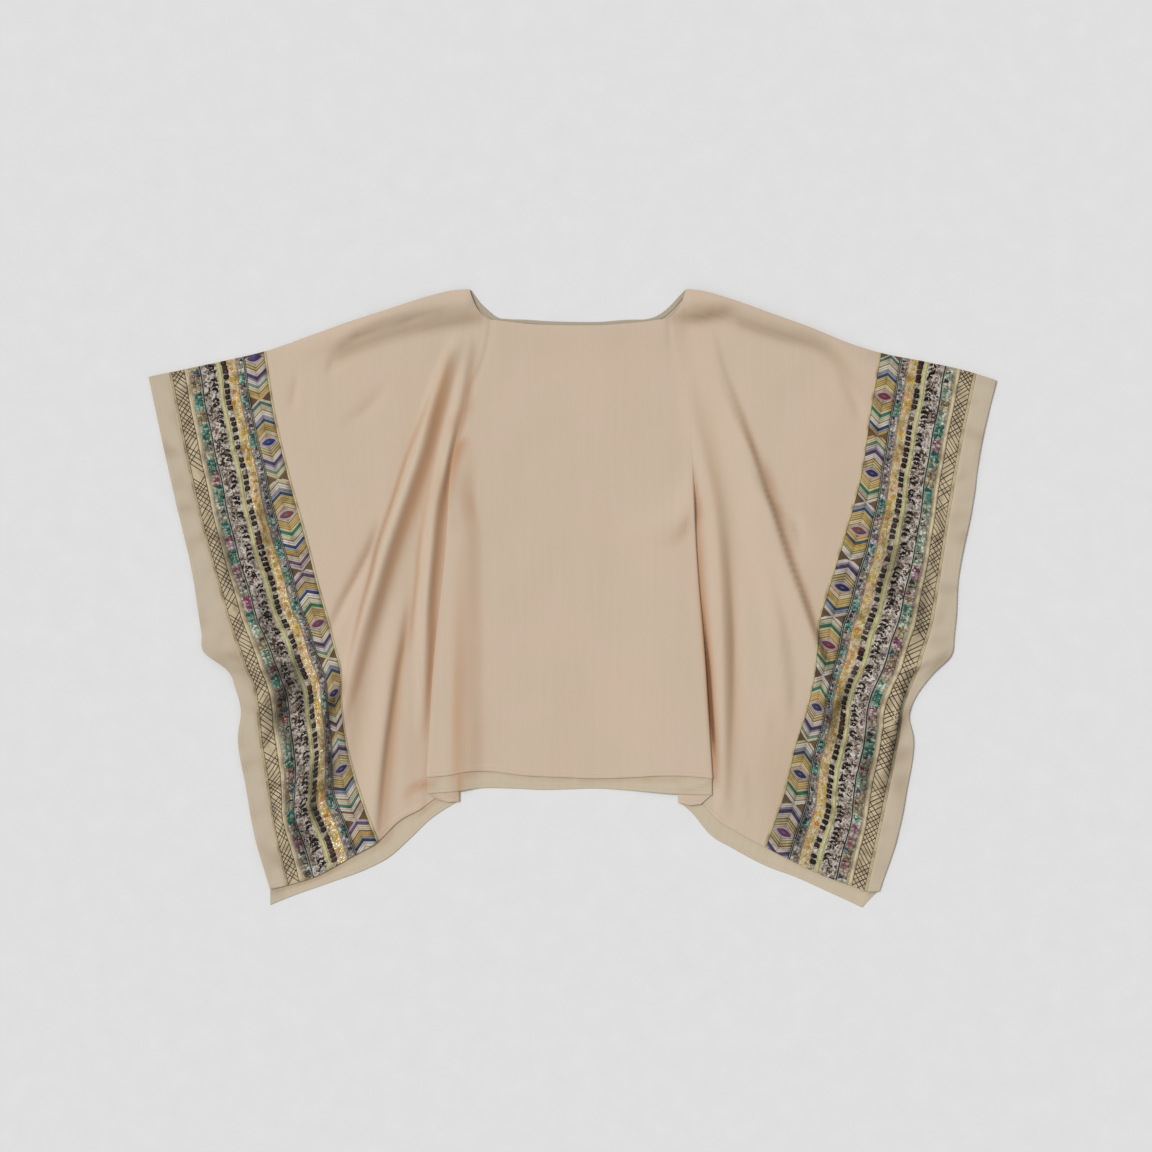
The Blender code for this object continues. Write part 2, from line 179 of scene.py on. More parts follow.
def folds(*rows):
    """Folds from rows of their two spreads and then the ridges."""
    return tuple(Fold(cuff_side, body_side, table(Ridge, *ridges)) for cuff_side, body_side, *ridges in rows)


LEFT_FOLDS = folds(
    (7, 14, (158, 374, 0), (171, 338, 5), (185, 305, 8), (200, 259, 11), (214, 209, 12), (232, 155, 12),
     (248, 110, 12), (263, 66, 12), (275, 24, 12), (287, -18, 11), (299, -60, 9), (309, -102, 8),
     (317, -144, 6), (328, -210, 3), (340, -280, 0)),
    (9, 8, (143, 372, 0), (154, 305, 4), (163, 259, 5), (174, 209, 8), (181, 175, 9), (192, 125, 9),
     (198, 66, 9), (202, 24, 9), (205, -18, 8), (207, -81, 6), (209, -144, 3), (212, -200, 0)),
    (16, 6, (236, 10, 0), (244, -60, 3), (256, -140, 5), (266, -210, 5), (273, -280, 4), (277, -335, 2)),
    (12, 9, (512, -78, 0), (477, -91, 6), (441, -99, 7), (404, -94, 0)),
    (9, 12, (449, -55, 0), (427, -130, 6), (408, -200, 6), (393, -277, 0)),
    (16, 13, (150, 414, 4), (200, 408, 5), (256, 393, 5), (312, 371, 4), (368, 352, 2), (410, 338, 0)),
)
RIGHT_FOLDS = folds(
    (5, 26, (190, 385, 0), (203, 327, 2), (234, 243, 5), (258, 173, 10), (277, 117, 11), (300, 47, 9),
     (322, -12, 8), (345, -80, 5), (378, -170, 0)),
    (12, 9, (160, 330, 0), (165, 262, 2), (185, 182, 4), (197, 126, 5), (205, 42, 6), (209, -50, 6),
     (211, -144, 5), (211, -228, 4), (211, -290, 2)),
    (12, 14, (227, 178, 0), (251, 108, 2), (283, -32, 3), (301, -200, 0)),
    (12, 9, (528, -69, 0), (497, -88, 7), (469, -99, 6), (444, -94, 0)),
    (9, 12, (465, -60, 0), (453, -144, 6), (436, -228, 6), (427, -284, 0)),
    (16, 13, (164, 414, 5), (220, 413, 6), (276, 395, 6), (332, 375, 5), (400, 349, 3), (430, 340, 0)),
)
# Small creases: troughs are below nothing, and never reach through to the layer beneath.
LEFT_CREASES = folds(
    (7, 6, (268, 110, 0), (282, 68, -4), (300, 30, -5), (318, -5, -5), (336, -42, -3)),
    (7, 8, (228, -10, 0), (236, -70, -2), (243, -105, -3), (252, -178, -4), (258, -229, -4),
     (264, -280, -3), (268, -320, -2)),
    (7, 9, (150, 390, -2), (213, 388, -5), (276, 374, -6), (314, 351, -6), (334, 328, -3), (345, 308, 0)),
    (8, 10, (252, 305, 0), (290, 262, -1.6), (330, 236, 0)),
    (7, 7, (381, 318, 0), (390, 285, -1.6), (396, 248, 0)),
    (5, 8, (402, -70, 0), (405, -118, -3), (398, -140, 0)),
    (6, 6, (361, -230, 0), (352, -275, 3), (346, -318, 0)),
    (6, 7, (420, -250, 0), (405, -300, 3), (392, -352, 0)),
    (7, 9, (300, -60, 0), (318, -150, -2), (325, -230, 0)),
    (5, 6, (486, -60, 0), (470, -78, -3), (452, -84, 0)),
    (5, 6, (452, 190, 0), (441, 110, 2.6), (431, 40, 3.2), (424, -20, 0)),
    (5, 5, (492, 150, 0), (476, 70, 2.2), (464, 0, 0)),
    (6, 7, (505, -10, 0), (468, -22, 3), (430, -26, 0)),
    (6, 7, (470, -120, 0), (430, -150, 3.4), (384, -158, 0)),
    (5, 6, (440, -215, 0), (402, -232, 3), (360, -236, 0)),
)
RIGHT_CREASES = folds(
    (9, 8, (215, 110, 0), (222, 20, -2), (226, -50, -3), (226, -120, -3), (223, -200, -2.4),
     (220, -280, -1)),
    (7, 8, (244, 205, 0), (266, 156, -4), (292, 126, -4), (312, 104, -3), (322, 62, 0)),
    (6, 8, (139, 389, -2), (165, 392, -6), (195, 396, -7), (221, 398, -5), (238, 391, -2), (255, 379, -4),
     (297, 366, -6), (346, 355, -5), (374, 325, -3), (395, 276, -2), (407, 240, 0)),
    (7, 8, (265, -150, 0), (269, -178, 0.9), (272, -204, 0)),
    (6, 8, (307, -104, 0), (309, -140, -0.9), (305, -176, 0)),
    (5, 6, (508, -84, 0), (486, -100, -3), (466, -112, 0)),
    (6, 7, (440, -120, 0), (452, -170, 2.6), (448, -210, 0)),
    (6, 6, (395, -170, 0), (402, -230, 2.4), (398, -290, 0)),
    (7, 8, (228, -200, 0), (236, -255, 1), (240, -300, 0.6)),
    (5, 6, (470, 180, 0), (457, 100, 2.6), (444, 30, 3), (436, -20, 0)),
    (5, 5, (515, 130, 0), (500, 60, 2.2), (490, 0, 0)),
    (6, 7, (520, -20, 0), (480, -40, 3), (440, -48, 0)),
    (6, 7, (478, -150, 0), (440, -178, 3.2), (400, -186, 0)),
)
# Shade painted beside the folds and in the crumpled parts of the bands: the heights here are
# shares of the full shade.
LEFT_SHADES = folds(
    (8, 16, (146, 190, 0), (150, 120, 0.1), (156, 20, 0.3), (159, -60, 0.5), (161, -150, 0.7),
     (161, -228, 0.65), (162, -275, 0.4)),
    (6, 10, (140, 288, 0), (152, 263, 0.8), (166, 240, 0.5)),
    (6, 10, (145, 226, 0), (158, 212, 1), (168, 180, 0.9), (174, 130, 0.3)),
    (3, 2.5, (196, 290, 0), (214, 242, 0.8), (233, 192, 1.2), (252, 133, 1.4), (272, 74, 1.4),
     (282, 32, 1.3), (297, -22, 1), (314, -98, 0)),
    (3.5, 3, (186, 215, 0), (193, 192, 0.5), (212, 87, 0.8), (218, 24, 0.9), (226, -52, 0.8),
     (229, -95, 0)),
    (7, 7, (166, 350, 0), (174, 318, 0.9), (192, 255, 1.1), (205, 192, 1), (220, 140, 0.4), (232, 100, 0)),
    (9, 8, (262, 20, 0), (275, -20, 0.6), (285, -60, 0.9), (302, -123, 1), (315, -170, 0.5),
     (325, -210, 0)),
    (6, 6, (181, 190, 0), (185, 136, 0.7), (190, 52, 1), (194, -18, 1.1), (197, -60, 1), (200, -102, 0.9),
     (203, -144, 0.7), (207, -190, 0.4), (210, -235, 0)),
    (15, 9, (118, 388, 0), (138, 389, 0.7), (192, 381, 0.75), (255, 367, 0.7), (318, 342, 0.65),
     (336, 326, 0.1)),
    (9, 14, (285, -70, 0), (298, -130, 0.4), (305, -180, 0.4), (310, -240, 0.2), (316, -290, 0)),
    (9, 10, (228, -10, 0), (235, -50, 0.5), (244, -102, 0.75), (250, -165, 0.8), (256, -228, 0.8),
     (262, -291, 0.65), (266, -340, 0.3)),
    (7, 7, (196, -262, 0.5), (210, -263, 0.9), (224, -268, 0.7), (240, -290, 0)),
    (12, 10, (415, -76, 0), (410, -98, 0.9), (398, -118, 1.1), (404, -140, 1.1), (412, -172, 0.9),
     (414, -200, 0)),
    (9, 10, (386, -60, 0), (389, -101, 0.9), (379, -143, 0.8), (369, -190, 0)),
    (9, 8, (318, -105, 0), (323, -130, 0.7), (337, -149, 1), (342, -181, 0.9), (346, -208, 0.9),
     (340, -233, 1), (340, -256, 0.9), (360, -275, 0.9), (363, -294, 1.1), (350, -323, 0.7),
     (344, -345, 0)),
    (8, 8, (366, -225, 0), (362, -240, 0.8), (367, -265, 0.8), (364, -285, 0)),
    (12, 11, (390, -300, 0), (380, -336, 0.9), (371, -362, 0.4)),
    (10, 9, (427, -130, 0), (422, -164, 0.8), (424, -190, 0)),
    (11, 9, (434, 30, 0), (428, -20, 0.7), (420, -60, 0.5), (420, -76, 0)),
    (10, 9, (497, 120, 0), (489, 80, 0.6), (480, 30, 0.5), (470, -10, 0)),
    (10, 9, (436, 180, 0), (430, 140, 0.5), (422, 90, 0.5), (412, 50, 0)),
    (12, 10, (520, -70, 0), (495, -84, 0.4), (470, -88, 0.5), (452, -110, 0.3), (442, -160, 0)),
)
RIGHT_SHADES = folds(
    (3.5, 2.5, (199, 322, 0), (227, 257, 0.5), (255, 196, 0.9), (279, 131, 1), (302, 56, 0.8),
     (321, 0, 0.8), (341, -64, 0.5), (352, -90, 0)),
    (7, 4, (172, 140, 0), (176, 84, 0.6), (178, 38, 0.9), (181, -9, 1.2), (185, -56, 1.6), (189, -102, 1.9),
     (192, -149, 2), (196, -196, 1.7), (199, -235, 1), (200, -262, 0.4)),
    (9, 9, (138, 391, 0.4), (175, 392, 1.05), (205, 396, 1), (224, 393, 0.6), (244, 382, 0.7),
     (290, 367, 0.75), (337, 354, 0.7), (365, 338, 0.5), (388, 308, 0.3), (408, 268, 0)),
    (14, 8, (176, 290, 0), (190, 210, 0.3), (203, 140, 0.45), (212, 61, 0.55), (217, -56, 0.65),
     (220, -149, 0.65), (221, -230, 0.4), (221, -290, 0.1)),
    (9, 4, (255, 205, 0), (270, 168, 0.9), (284, 132, 0.4), (292, 108, 0)),
    (10, 9, (395, -100, 0), (385, -130, 0.6), (367, -160, 1), (362, -190, 0.7), (350, -230, 0)),
    (10, 9, (448, 110, 0), (440, 60, 0.6), (430, 10, 0.6), (424, -30, 0)),
    (10, 9, (500, 60, 0), (492, 0, 0.6), (482, -50, 0.5), (476, -80, 0)),
    (11, 10, (425, -150, 0), (418, -200, 0.6), (410, -250, 0.7), (405, -290, 0)),
    (8, 9, (330, -280, 0), (322, -320, 0.6), (318, -350, 0.5)),
    (30, 30, (310, -130, 0), (290, -230, 0.22), (300, -310, 0.3)),
)
UNTURNED = 70  # degrees of turn past which the folds stop at the pleat
FLAT_WIDTH = 1.5 * MM  # of each bend of the pleat where it lies flat
LINE_STEPS = 24  # a fold's line is read at this many places for each ridge
FOLD_START = 1 * MM
FOLD_CLEAR = 9 * MM
SWELL = 4 * MM
SWELL_IN_BAND = 60 * MM
NECK_LIFT = 1.4 * MM
NECK_LIFT_REACH = 30 * MM
UNEVEN = 0.75 * MM  # how far the lying cloth strays from smooth
UNEVEN_SPAN = 0.07  # metres from one soft hollow to the next
PUCKER = 0.9 * MM  # how far the margin past a band strays more
PUCKER_SPAN = 0.024
MARGIN_FADE = 0.06
CRUMPLED = 0.7  # share of the full shade in the hollows of the margin
HEM_WIDTH = 8 * MM  # the turned-in hem makes the cloth stand a little higher here
HEM_RISE = 0.35 * MM

Side = namedtuple(
    "Side",
    "sign stations shoulder front_hem back_hem front_body_hem back_body_hem front_neck back_neck folds "
    "creases shades neck_fall hem_fall",
)
LEFT = Side(-1, LEFT_STATIONS, LEFT_SHOULDER, LEFT_FRONT_HEM, LEFT_BACK_HEM, LEFT_FRONT_BODY_HEM,
            LEFT_BACK_BODY_HEM, LEFT_FRONT_NECK, LEFT_BACK_NECK, LEFT_FOLDS, LEFT_CREASES,
            LEFT_SHADES, 34, 36)
RIGHT = Side(1, RIGHT_STATIONS, RIGHT_SHOULDER, RIGHT_FRONT_HEM, RIGHT_BACK_HEM, RIGHT_FRONT_BODY_HEM,
             RIGHT_BACK_BODY_HEM, RIGHT_FRONT_NECK, RIGHT_BACK_NECK, RIGHT_FOLDS, RIGHT_CREASES,
             RIGHT_SHADES, 110, 110)

SUN_FROM = (-0.42, 0.23, 0.88)

# Rows between one station and the next, and columns between one mark and the next.
FRONT_ROWS = (12, 12, 12, 12, 5, 4, 5, 5, 6, 9, 9, 10)
FRONT_COLUMNS = (10, 30, 84, 6, 4, 8, 12, 14, 16)
BACK_ROWS = (8, 8, 8, 8, 3, 2, 3, 3, 4, 6, 6, 6)
BACK_COLUMNS = (6, 24, 24, 6, 3, 8, 8, 10, 12)
HEM_DOWNS = (0.984, 0.988, 0.992, 0.996)
RIM_DOWNS = (0.0013, 0.9987)  # about a millimetre inside the edges, so that they round off narrowly
RIM_WAY = 0.03


def column(rows, name):
    return np.array([getattr(row, name) for row in rows], float)


def through(marks, values, at):
    """A smooth curve through the values at the marks, read at one place or at many."""
    slopes = np.gradient(values, marks)
    at = np.clip(at, marks[0], marks[-1])
    left = np.clip(np.searchsorted(marks, at, side="right") - 1, 0, len(marks) - 2)
    span = marks[left + 1] - marks[left]
    t = (at - marks[left]) / span
    return (
        (1 + 2 * t) * (1 - t) ** 2 * values[left]
        + t * (1 - t) ** 2 * span * slopes[left]
        + t * t * (3 - 2 * t) * values[left + 1]
        + t * t * (t - 1) * span * slopes[left + 1]
    )


def step(low, high, value):
    """0 below low, 1 above high, and a soft rise between."""
    t = np.clip((value - low) / (high - low), 0, 1)
    return t * t * (3 - 2 * t)


def edge_line(points, out):
    """How far up the edge through these points lies, at distances out from the middle."""
    return through(column(points, "out") * MM, column(points, "up") * MM, out)


def steps_between(counts, marks):
    """The marks with even steps between them: one count for each stretch."""
    stretches = [np.linspace(a, b, n, endpoint=False) for a, b, n in zip(marks, marks[1:], counts)]
    return np.append(np.concatenate(stretches), marks[-1])


def section(side, neck, down, way):
    """The front's middle across one half at one station: out, rise and lean of the cloth."""
    downs = column(side.stations, "down")
    at = {name: through(downs, column(side.stations, name), down) for name in Station._fields[1:]}
    turn = min(max(at.pop("turn"), 0), 180)
    spare = FLAT_WIDTH * (1 - step(0, UNTURNED, turn))
    turn = math.radians(turn)
    cuff, band_outer, band_inner, edge, loose, tuck = (value * MM for value in at.values())
    inner = LAYER / 2 + max(loose, 0)
    outer = LAYER * 3 / 2 + max(loose, 0)

    body = edge - outer * (1 - math.cos(turn)) / 2
    body_rise = FRONT_REST + (inner + outer) * (1 - math.cos(turn)) + tuck * math.sin(turn)
    edge_start = body + outer * math.sin(turn) + spare
    edge_start_rise = body_rise - outer * (1 - math.cos(turn))
    tuck_end = edge_start + tuck * math.cos(turn)
    tuck_end_rise = edge_start_rise - tuck * math.sin(turn)
    foot = tuck_end + inner * math.sin(turn) + spare
    shelf = min(body, tuck_end) - SHELF_PAST
    landing = shelf - (side.neck_fall + (side.hem_fall - side.neck_fall) * down) * MM

    ends = np.array([cuff, band_outer, band_inner, foot, tuck_end, edge_start, body, shelf, landing, 0])
    out = np.interp(way, range(MIDDLE + 1), ends)
    neck_out = through(column(neck, "way"), column(neck, "out") * MM, way)
    near_neck = 1 - step(0, NECK_FAN, down)
    out = np.where(way > BODY, near_neck * neck_out + (1 - near_neck) * out, out)

    lean = np.zeros_like(way)
    rise = np.full_like(way, FRONT_REST)
    in_inner = (way > FOOT) & (way <= TUCK_END)
    lean = np.where(in_inner, turn * (way - FOOT), lean)
    bend = tuck_end + inner * (math.sin(turn) - np.sin(lean)) + spare * (TUCK_END - way)
    out = np.where(in_inner, bend, out)
    rise = np.where(in_inner, tuck_end_rise - inner * (np.cos(lean) - math.cos(turn)), rise)
    in_tuck = (way > TUCK_END) & (way <= EDGE_START)
    lean = np.where(in_tuck, turn, lean)
    along = way - TUCK_END
    rise = np.where(in_tuck, tuck_end_rise + along * (edge_start_rise - tuck_end_rise), rise)
    in_outer = (way > EDGE_START) & (way <= BODY)
    lean = np.where(in_outer, turn * (BODY - way), lean)
    out = np.where(in_outer, body + outer * np.sin(lean) + spare * (BODY - way), out)
    rise = np.where(in_outer, body_rise - outer * (1 - np.cos(lean)), rise)
    standing = step(landing, shelf, out)
    rise = np.where(way > BODY, FRONT_REST + (body_rise - FRONT_REST) * standing, rise)
    return out, rise, lean


def fold_rise(fold, out, up):
    """How high one fold stands at each place."""
    marks = np.arange(len(fold.ridges), dtype=float)
    along = np.linspace(0, marks[-1], LINE_STEPS * len(marks))
    line = [through(marks, column(fold.ridges, name) * MM, along) for name in Ridge._fields]
    gap_out = out[..., None] - line[0]
    gap_up = up[..., None] - line[1]
    near = np.argmin(gap_out**2 + gap_up**2, axis=-1)
    gap_out = np.take_along_axis(gap_out, near[..., None], -1)[..., 0]
    gap_up = np.take_along_axis(gap_up, near[..., None], -1)[..., 0]
    run_out = np.gradient(line[0])[near]
    run_up = np.gradient(line[1])[near]
    cuff_side = run_out * gap_up - run_up * gap_out > 0
    spread = np.where(cuff_side, fold.cuff_side, fold.body_side) * MM
    return line[2][near] * np.exp(-(gap_out**2 + gap_up**2) / spread**2)


def waves(across, up, span):
    """Soft waves about as long as the span, between -1 and 1."""
    return np.array([noise.noise(Vector((x / span, y / span, 0))) for x, y in zip(across, up)])


def uneven(across, up):
    """A soft unevenness of the lying cloth, never below nothing."""
    return UNEVEN * (1 + waves(across, up, UNEVEN_SPAN))


def hem_up(out, way, wing_hem, body_hem):
    """How far up the hem lies: the wing's before the tuck, the body's past it."""
    tucked = np.clip((way - TUCK_END) / (EDGE_START - TUCK_END), 0, 1)
    return (1 - tucked) * edge_line(wing_hem, out) + tucked * edge_line(body_hem, out)


def front_row(side, down, way):
    """The front's middle across one half at one station: across, up and rise."""
    out, rise, _ = section(side, side.front_neck, down, way)
    top_out = section(side, side.front_neck, 0, way)[0]
    hem_out = section(side, side.front_neck, 1, way)[0]
    neck_up = through(column(side.front_neck, "way"), column(side.front_neck, "up") * MM, way)
    near_neck = 1 - step(0, NECK_FAN, down)
    neck_up = near_neck * neck_up + (1 - near_neck) * edge_line(side.front_neck[::-1], out)
    top = np.where(way > BODY, neck_up, edge_line(side.shoulder, top_out))
    hem = hem_up(hem_out, way, side.front_hem, side.front_body_hem)
    up = (1 - down) * top + down * hem

    downs = column(side.stations, "down")
    edge = through(downs, column(side.stations, "edge"), down) * MM
    band_inner = through(downs, column(side.stations, "band_inner"), down) * MM
    unturned = 1 - step(0, UNTURNED, through(downs, column(side.stations, "turn"), down))
    starts = edge + FOLD_START
    on_wing = np.where(way < FOOT, step(starts, starts + FOLD_CLEAR, out), 0)
    on_wing = np.maximum(on_wing, unturned)
    swelling = step(edge, (edge + band_inner) / 2, out)
    swelling = swelling * (1 - step(band_inner - SWELL_IN_BAND, band_inner + SWELL_IN_BAND, out))
    raised = SWELL * swelling * math.sin(math.pi * down) ** 0.5
    for fold in side.folds + side.creases:
        raised = raised + fold_rise(fold, out, up)
    rise = rise + on_wing * np.maximum(raised, 0)
    from_neck = np.where(way > BODY, top - up, np.hypot(top - up, out - edge))
    rise = rise + NECK_LIFT * np.exp(-((from_neck / NECK_LIFT_REACH) ** 2))
    free = np.where(way > SHELF, step(SHELF, SHELF + SHELF_EASE, way), on_wing)
    rise = rise + free * uneven(side.sign * out, up)
    past_band = 1 - step(BAND_OUTER - MARGIN_FADE, BAND_OUTER, way)
    rise = rise + past_band * PUCKER * (1 + waves(side.sign * out, up, PUCKER_SPAN))
    rise = rise + HEM_RISE * free * (1 - step(HEM_WIDTH * 0.8, HEM_WIDTH, up - hem))
    return side.sign * out, up, rise


def back_row(side, down, way):
    """The back's middle: the front's, moved one layer to its under side, without the folds."""
    _, rise, lean = section(side, side.front_neck, down, way)
    across, up, _ = front_row(side, down, way)
    return across - side.sign * LAYER * np.sin(lean), up, rise - LAYER * np.cos(lean)


def back_neck_row(side, way):
    """The back's first row: the shoulder line and the back's own neck edge."""
    out, rise, lean = section(side, side.back_neck, 0, way)
    across, up, _ = back_row(side, 0, way)
    neck_up = through(column(side.back_neck, "way"), column(side.back_neck, "up") * MM, way)
    across = np.where(way > BODY, side.sign * out, across)
    return across, np.where(way > BODY, neck_up, up), rise - LAYER * np.cos(lean)


def back_hem_row(side, way):
    """The back's last row: its hem, which hangs a little lower than the front's."""
    across, _, rise = back_row(side, 1, way)
    return across, hem_up(np.abs(across), way, side.back_hem, side.back_body_hem), rise


def half_way(columns):
    """The way across one half, with the narrow rim at the cuff edge."""
    return np.insert(steps_between(columns, range(MIDDLE + 1)), 1, RIM_WAY)


def both_halves(row, *at, columns):
    """One row from the left cuff edge to the right one, as an array of places."""
    way = half_way(columns)
    left = np.stack(row(LEFT, *at, way), axis=-1)
    right = np.stack(row(RIGHT, *at, way), axis=-1)
    return np.concatenate([left, right[-2::-1]])


def cloth_map(places):
    """Where each place lies on the flat cloth: metres across from the middle and down from the top."""
    across = np.linalg.norm(np.diff(places, axis=1), axis=2)
    across = np.concatenate([np.zeros((len(places), 1)), np.cumsum(across, axis=1)], axis=1)
    across -= across[:, across.shape[1] // 2][:, None]
    down = np.linalg.norm(np.diff(places, axis=0), axis=2).mean(axis=1)
    down = np.concatenate([[0], np.cumsum(down)])
    return np.stack([across, np.broadcast_to(-down[:, None], across.shape)], axis=2)


# Painted shade: a map of how far the cloth lies in the shade of its folds, worked out from its heights and
# the light's direction, kept on the meshes as colour.
SHADE_CELL = 2 * MM
SHADE_REACH = 50 * MM
SHADE_SLOPE = 0.42
SHADE_DEPTH = 6 * MM
SHADE_FLANK = 0.68  # the slope away from the light at which a flank is fully in the shade
SHADE_BOX = (-0.62, 0.62, -0.46, 0.46)


def upper_side(places):
    """The height of the topmost cloth over a square grid of cells, 0 where there is none."""
    left, right, low, high = SHADE_BOX
    heights = np.zeros((round((high - low) / SHADE_CELL) + 1, round((right - left) / SHADE_CELL) + 1))
    for part_down in np.arange(0, 1, 0.2):
        between_rows = places[:-1] * (1 - part_down) + places[1:] * part_down
        for part_across in np.arange(0, 1, 0.125):
            spots = between_rows[:, :-1] * (1 - part_across) + between_rows[:, 1:] * part_across
            column_at = np.rint((spots[..., 0] - left) / SHADE_CELL).astype(int)
            row_at = np.rint((spots[..., 1] - low) / SHADE_CELL).astype(int)
            np.maximum.at(heights, (row_at, column_at), spots[..., 2])
    return heights


def shade_map(places):
    """How far each cell lies in the shade of what stands towards the light, from 0 to 1."""
    heights = upper_side(places)
    azimuth = np.array(SUN_FROM[:2]) / math.hypot(*SUN_FROM[:2])
    above = np.zeros_like(heights)
    for reach in np.arange(SHADE_CELL, SHADE_REACH, SHADE_CELL):
        move = -np.rint(azimuth * reach / SHADE_CELL).astype(int)
        towards = np.roll(heights, (move[1], move[0]), axis=(0, 1))
        above = np.maximum(above, towards - heights - SHADE_SLOPE * reach)
        if reach == 2 * SHADE_CELL:
            flank = (towards - heights) / reach
    shade = np.clip(np.maximum(above / SHADE_DEPTH, flank / SHADE_FLANK), 0, 1)
    across = np.linspace(*SHADE_BOX[:2], heights.shape[1])[None, :]
    up = np.broadcast_to(np.linspace(*SHADE_BOX[2:], heights.shape[0])[:, None], heights.shape)
    for side in (LEFT, RIGHT):
        out = np.broadcast_to(side.sign * across, heights.shape)
        for fold in side.shades:
            reach = 3 * max(fold.cuff_side, fold.body_side) * MM
            outs, ups = column(fold.ridges, "out") * MM, column(fold.ridges, "up") * MM
            near = (out > outs.min() - reach) & (out < outs.max() + reach)
            near &= (up > ups.min() - reach) & (up < ups.max() + reach)
            shade[near] = np.maximum(shade[near], fold_rise(fold, out[near], up[near]) / MM)
    for axis in (0, 1):
        shade = (np.roll(shade, 1, axis) + 2 * shade + np.roll(shade, -1, axis)) / 4
    return shade


def read_grid(grid, row_at, column_at):
    """The grid's values between its cells, at rows and columns that need not be whole."""
    row = np.minimum(row_at.astype(int), grid.shape[0] - 2)
    col = np.minimum(column_at.astype(int), grid.shape[1] - 2)
    s, t = column_at - col, row_at - row
    if grid.ndim > 2:
        s, t = s[..., None], t[..., None]
    upper = grid[row, col] * (1 - s) + grid[row, col + 1] * s
    lower = grid[row + 1, col] * (1 - s) + grid[row + 1, col + 1] * s
    return upper * (1 - t) + lower * t


def shade_at(shade, places):
    """The shade read off the map at each place."""
    left, _, low, _ = SHADE_BOX
    column_at = np.clip((places[..., 0] - left) / SHADE_CELL, 0, shade.shape[1] - 1.001)
    row_at = np.clip((places[..., 1] - low) / SHADE_CELL, 0, shade.shape[0] - 1.001)
    return read_grid(shade, row_at, column_at)


def mesh_of(name, bm):
    mesh = bpy.data.meshes.new(name)
    bm.to_mesh(mesh)
    bm.free()
    return mesh


def link(piece):
    """Puts a new object into the scene."""
    bpy.context.scene.collection.objects.link(piece)
    return piece


def finished(name, bm, *materials):
    """A piece from a bmesh: at the origin, smooth, with its materials, riding on the part."""
    mesh = mesh_of(name, bm)
    mesh.shade_smooth()
    for material in materials:
        mesh.materials.append(material)
    piece = link(bpy.data.objects.new(name, mesh))
    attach(piece, "root")
    return piece


def add_sheet(name, places, flat, tones, wall, lift, *materials):
    """A thin sheet of cloth through rows of places, with the map of its flat cloth and its tones."""
    down_count, across_count = places.shape[0] - 1, places.shape[1] - 1
    bm = bmesh.new()
    bmesh.ops.create_grid(bm, x_segments=across_count, y_segments=down_count, size=0.5)
    on_cloth = bm.loops.layers.uv.new("cloth")
    # The margin share, the painted shade and the warmth of that shade go on the mesh as one colour.
    margin_and_painted_shade = bm.verts.layers.float_color.new("margin_and_painted_shade")
    cells = {}
    for vert in bm.verts:
        cell = (round((0.5 - vert.co.y) * down_count), round((vert.co.x + 0.5) * across_count))
        cells[vert] = cell
        vert.co = places[cell]
        vert[margin_and_painted_shade] = (*tones[cell], 1)
    for face in bm.faces:
        for loop in face.loops:
            loop[on_cloth].uv = flat[cells[loop.vert]]
    sheet = finished(name, bm, *materials)
    solid = sheet.modifiers.new("wall", "SOLIDIFY")
    solid.thickness = wall
    solid.offset = 2 * lift / wall
    solid.material_offset = len(materials) - 1
    return sheet


def linear(hex_colour):
    """An sRGB hex value such as "C9A050" as a linear colour with full alpha."""
    shares = [int(hex_colour[i : i + 2], 16) / 255 for i in (0, 2, 4)]
    return (*(c / 12.92 if c <= 0.04045 else ((c + 0.055) / 1.055) ** 2.4 for c in shares), 1)


def feed(node, inputs):
    """Gives a node's sockets a number, a hex colour, or a link from a node or one of its sockets."""
    for socket, value in inputs.items():
        if isinstance(value, bpy.types.Node):
            value = next(output for output in value.outputs if output.enabled)
        if isinstance(value, bpy.types.NodeSocket):
            node.id_data.links.new(value, node.inputs[socket])
        else:
            node.inputs[socket].default_value = linear(value) if isinstance(value, str) else value


def add_node(tree, kind, inputs=None, ramp=(), between="LINEAR", **settings):
    """A node with its settings, what feeds its sockets, and the stops of its colour ramp."""
    node = tree.nodes.new("ShaderNode" + kind)
    for name, value in settings.items():
        setattr(node, name, value)
    feed(node, inputs or {})
    if ramp:
        node.color_ramp.interpolation = between
        stops = node.color_ramp.elements
        while len(stops) < len(ramp):
            stops.new(1.0)
        for stop, (place, colour) in zip(stops, ramp):
            stop.position = place
            stop.color = linear(colour) if isinstance(colour, str) else colour
    return node


def new_material(name):
    """An empty material: itself, its shader, and the function that adds nodes to it."""
    material = bpy.data.materials.new(name)
    material.use_nodes = True
    tree = material.node_tree
    return material, tree.nodes["Principled BSDF"], partial(add_node, tree)


WARP_PITCH = 1.6 * MM  # real threads lie 0.3 mm apart, drawn wider so that they show
CREPE_GRAIN = 1.1 * MM
SHADE_COLOUR = "8B7050"  # grey brown over the wings
WARM_SHADE = "B58050"  # beside the body
DEEP_SHADE = "7A5238"  # in the deepest folds
MARGIN_COLOUR = "BFB39D"


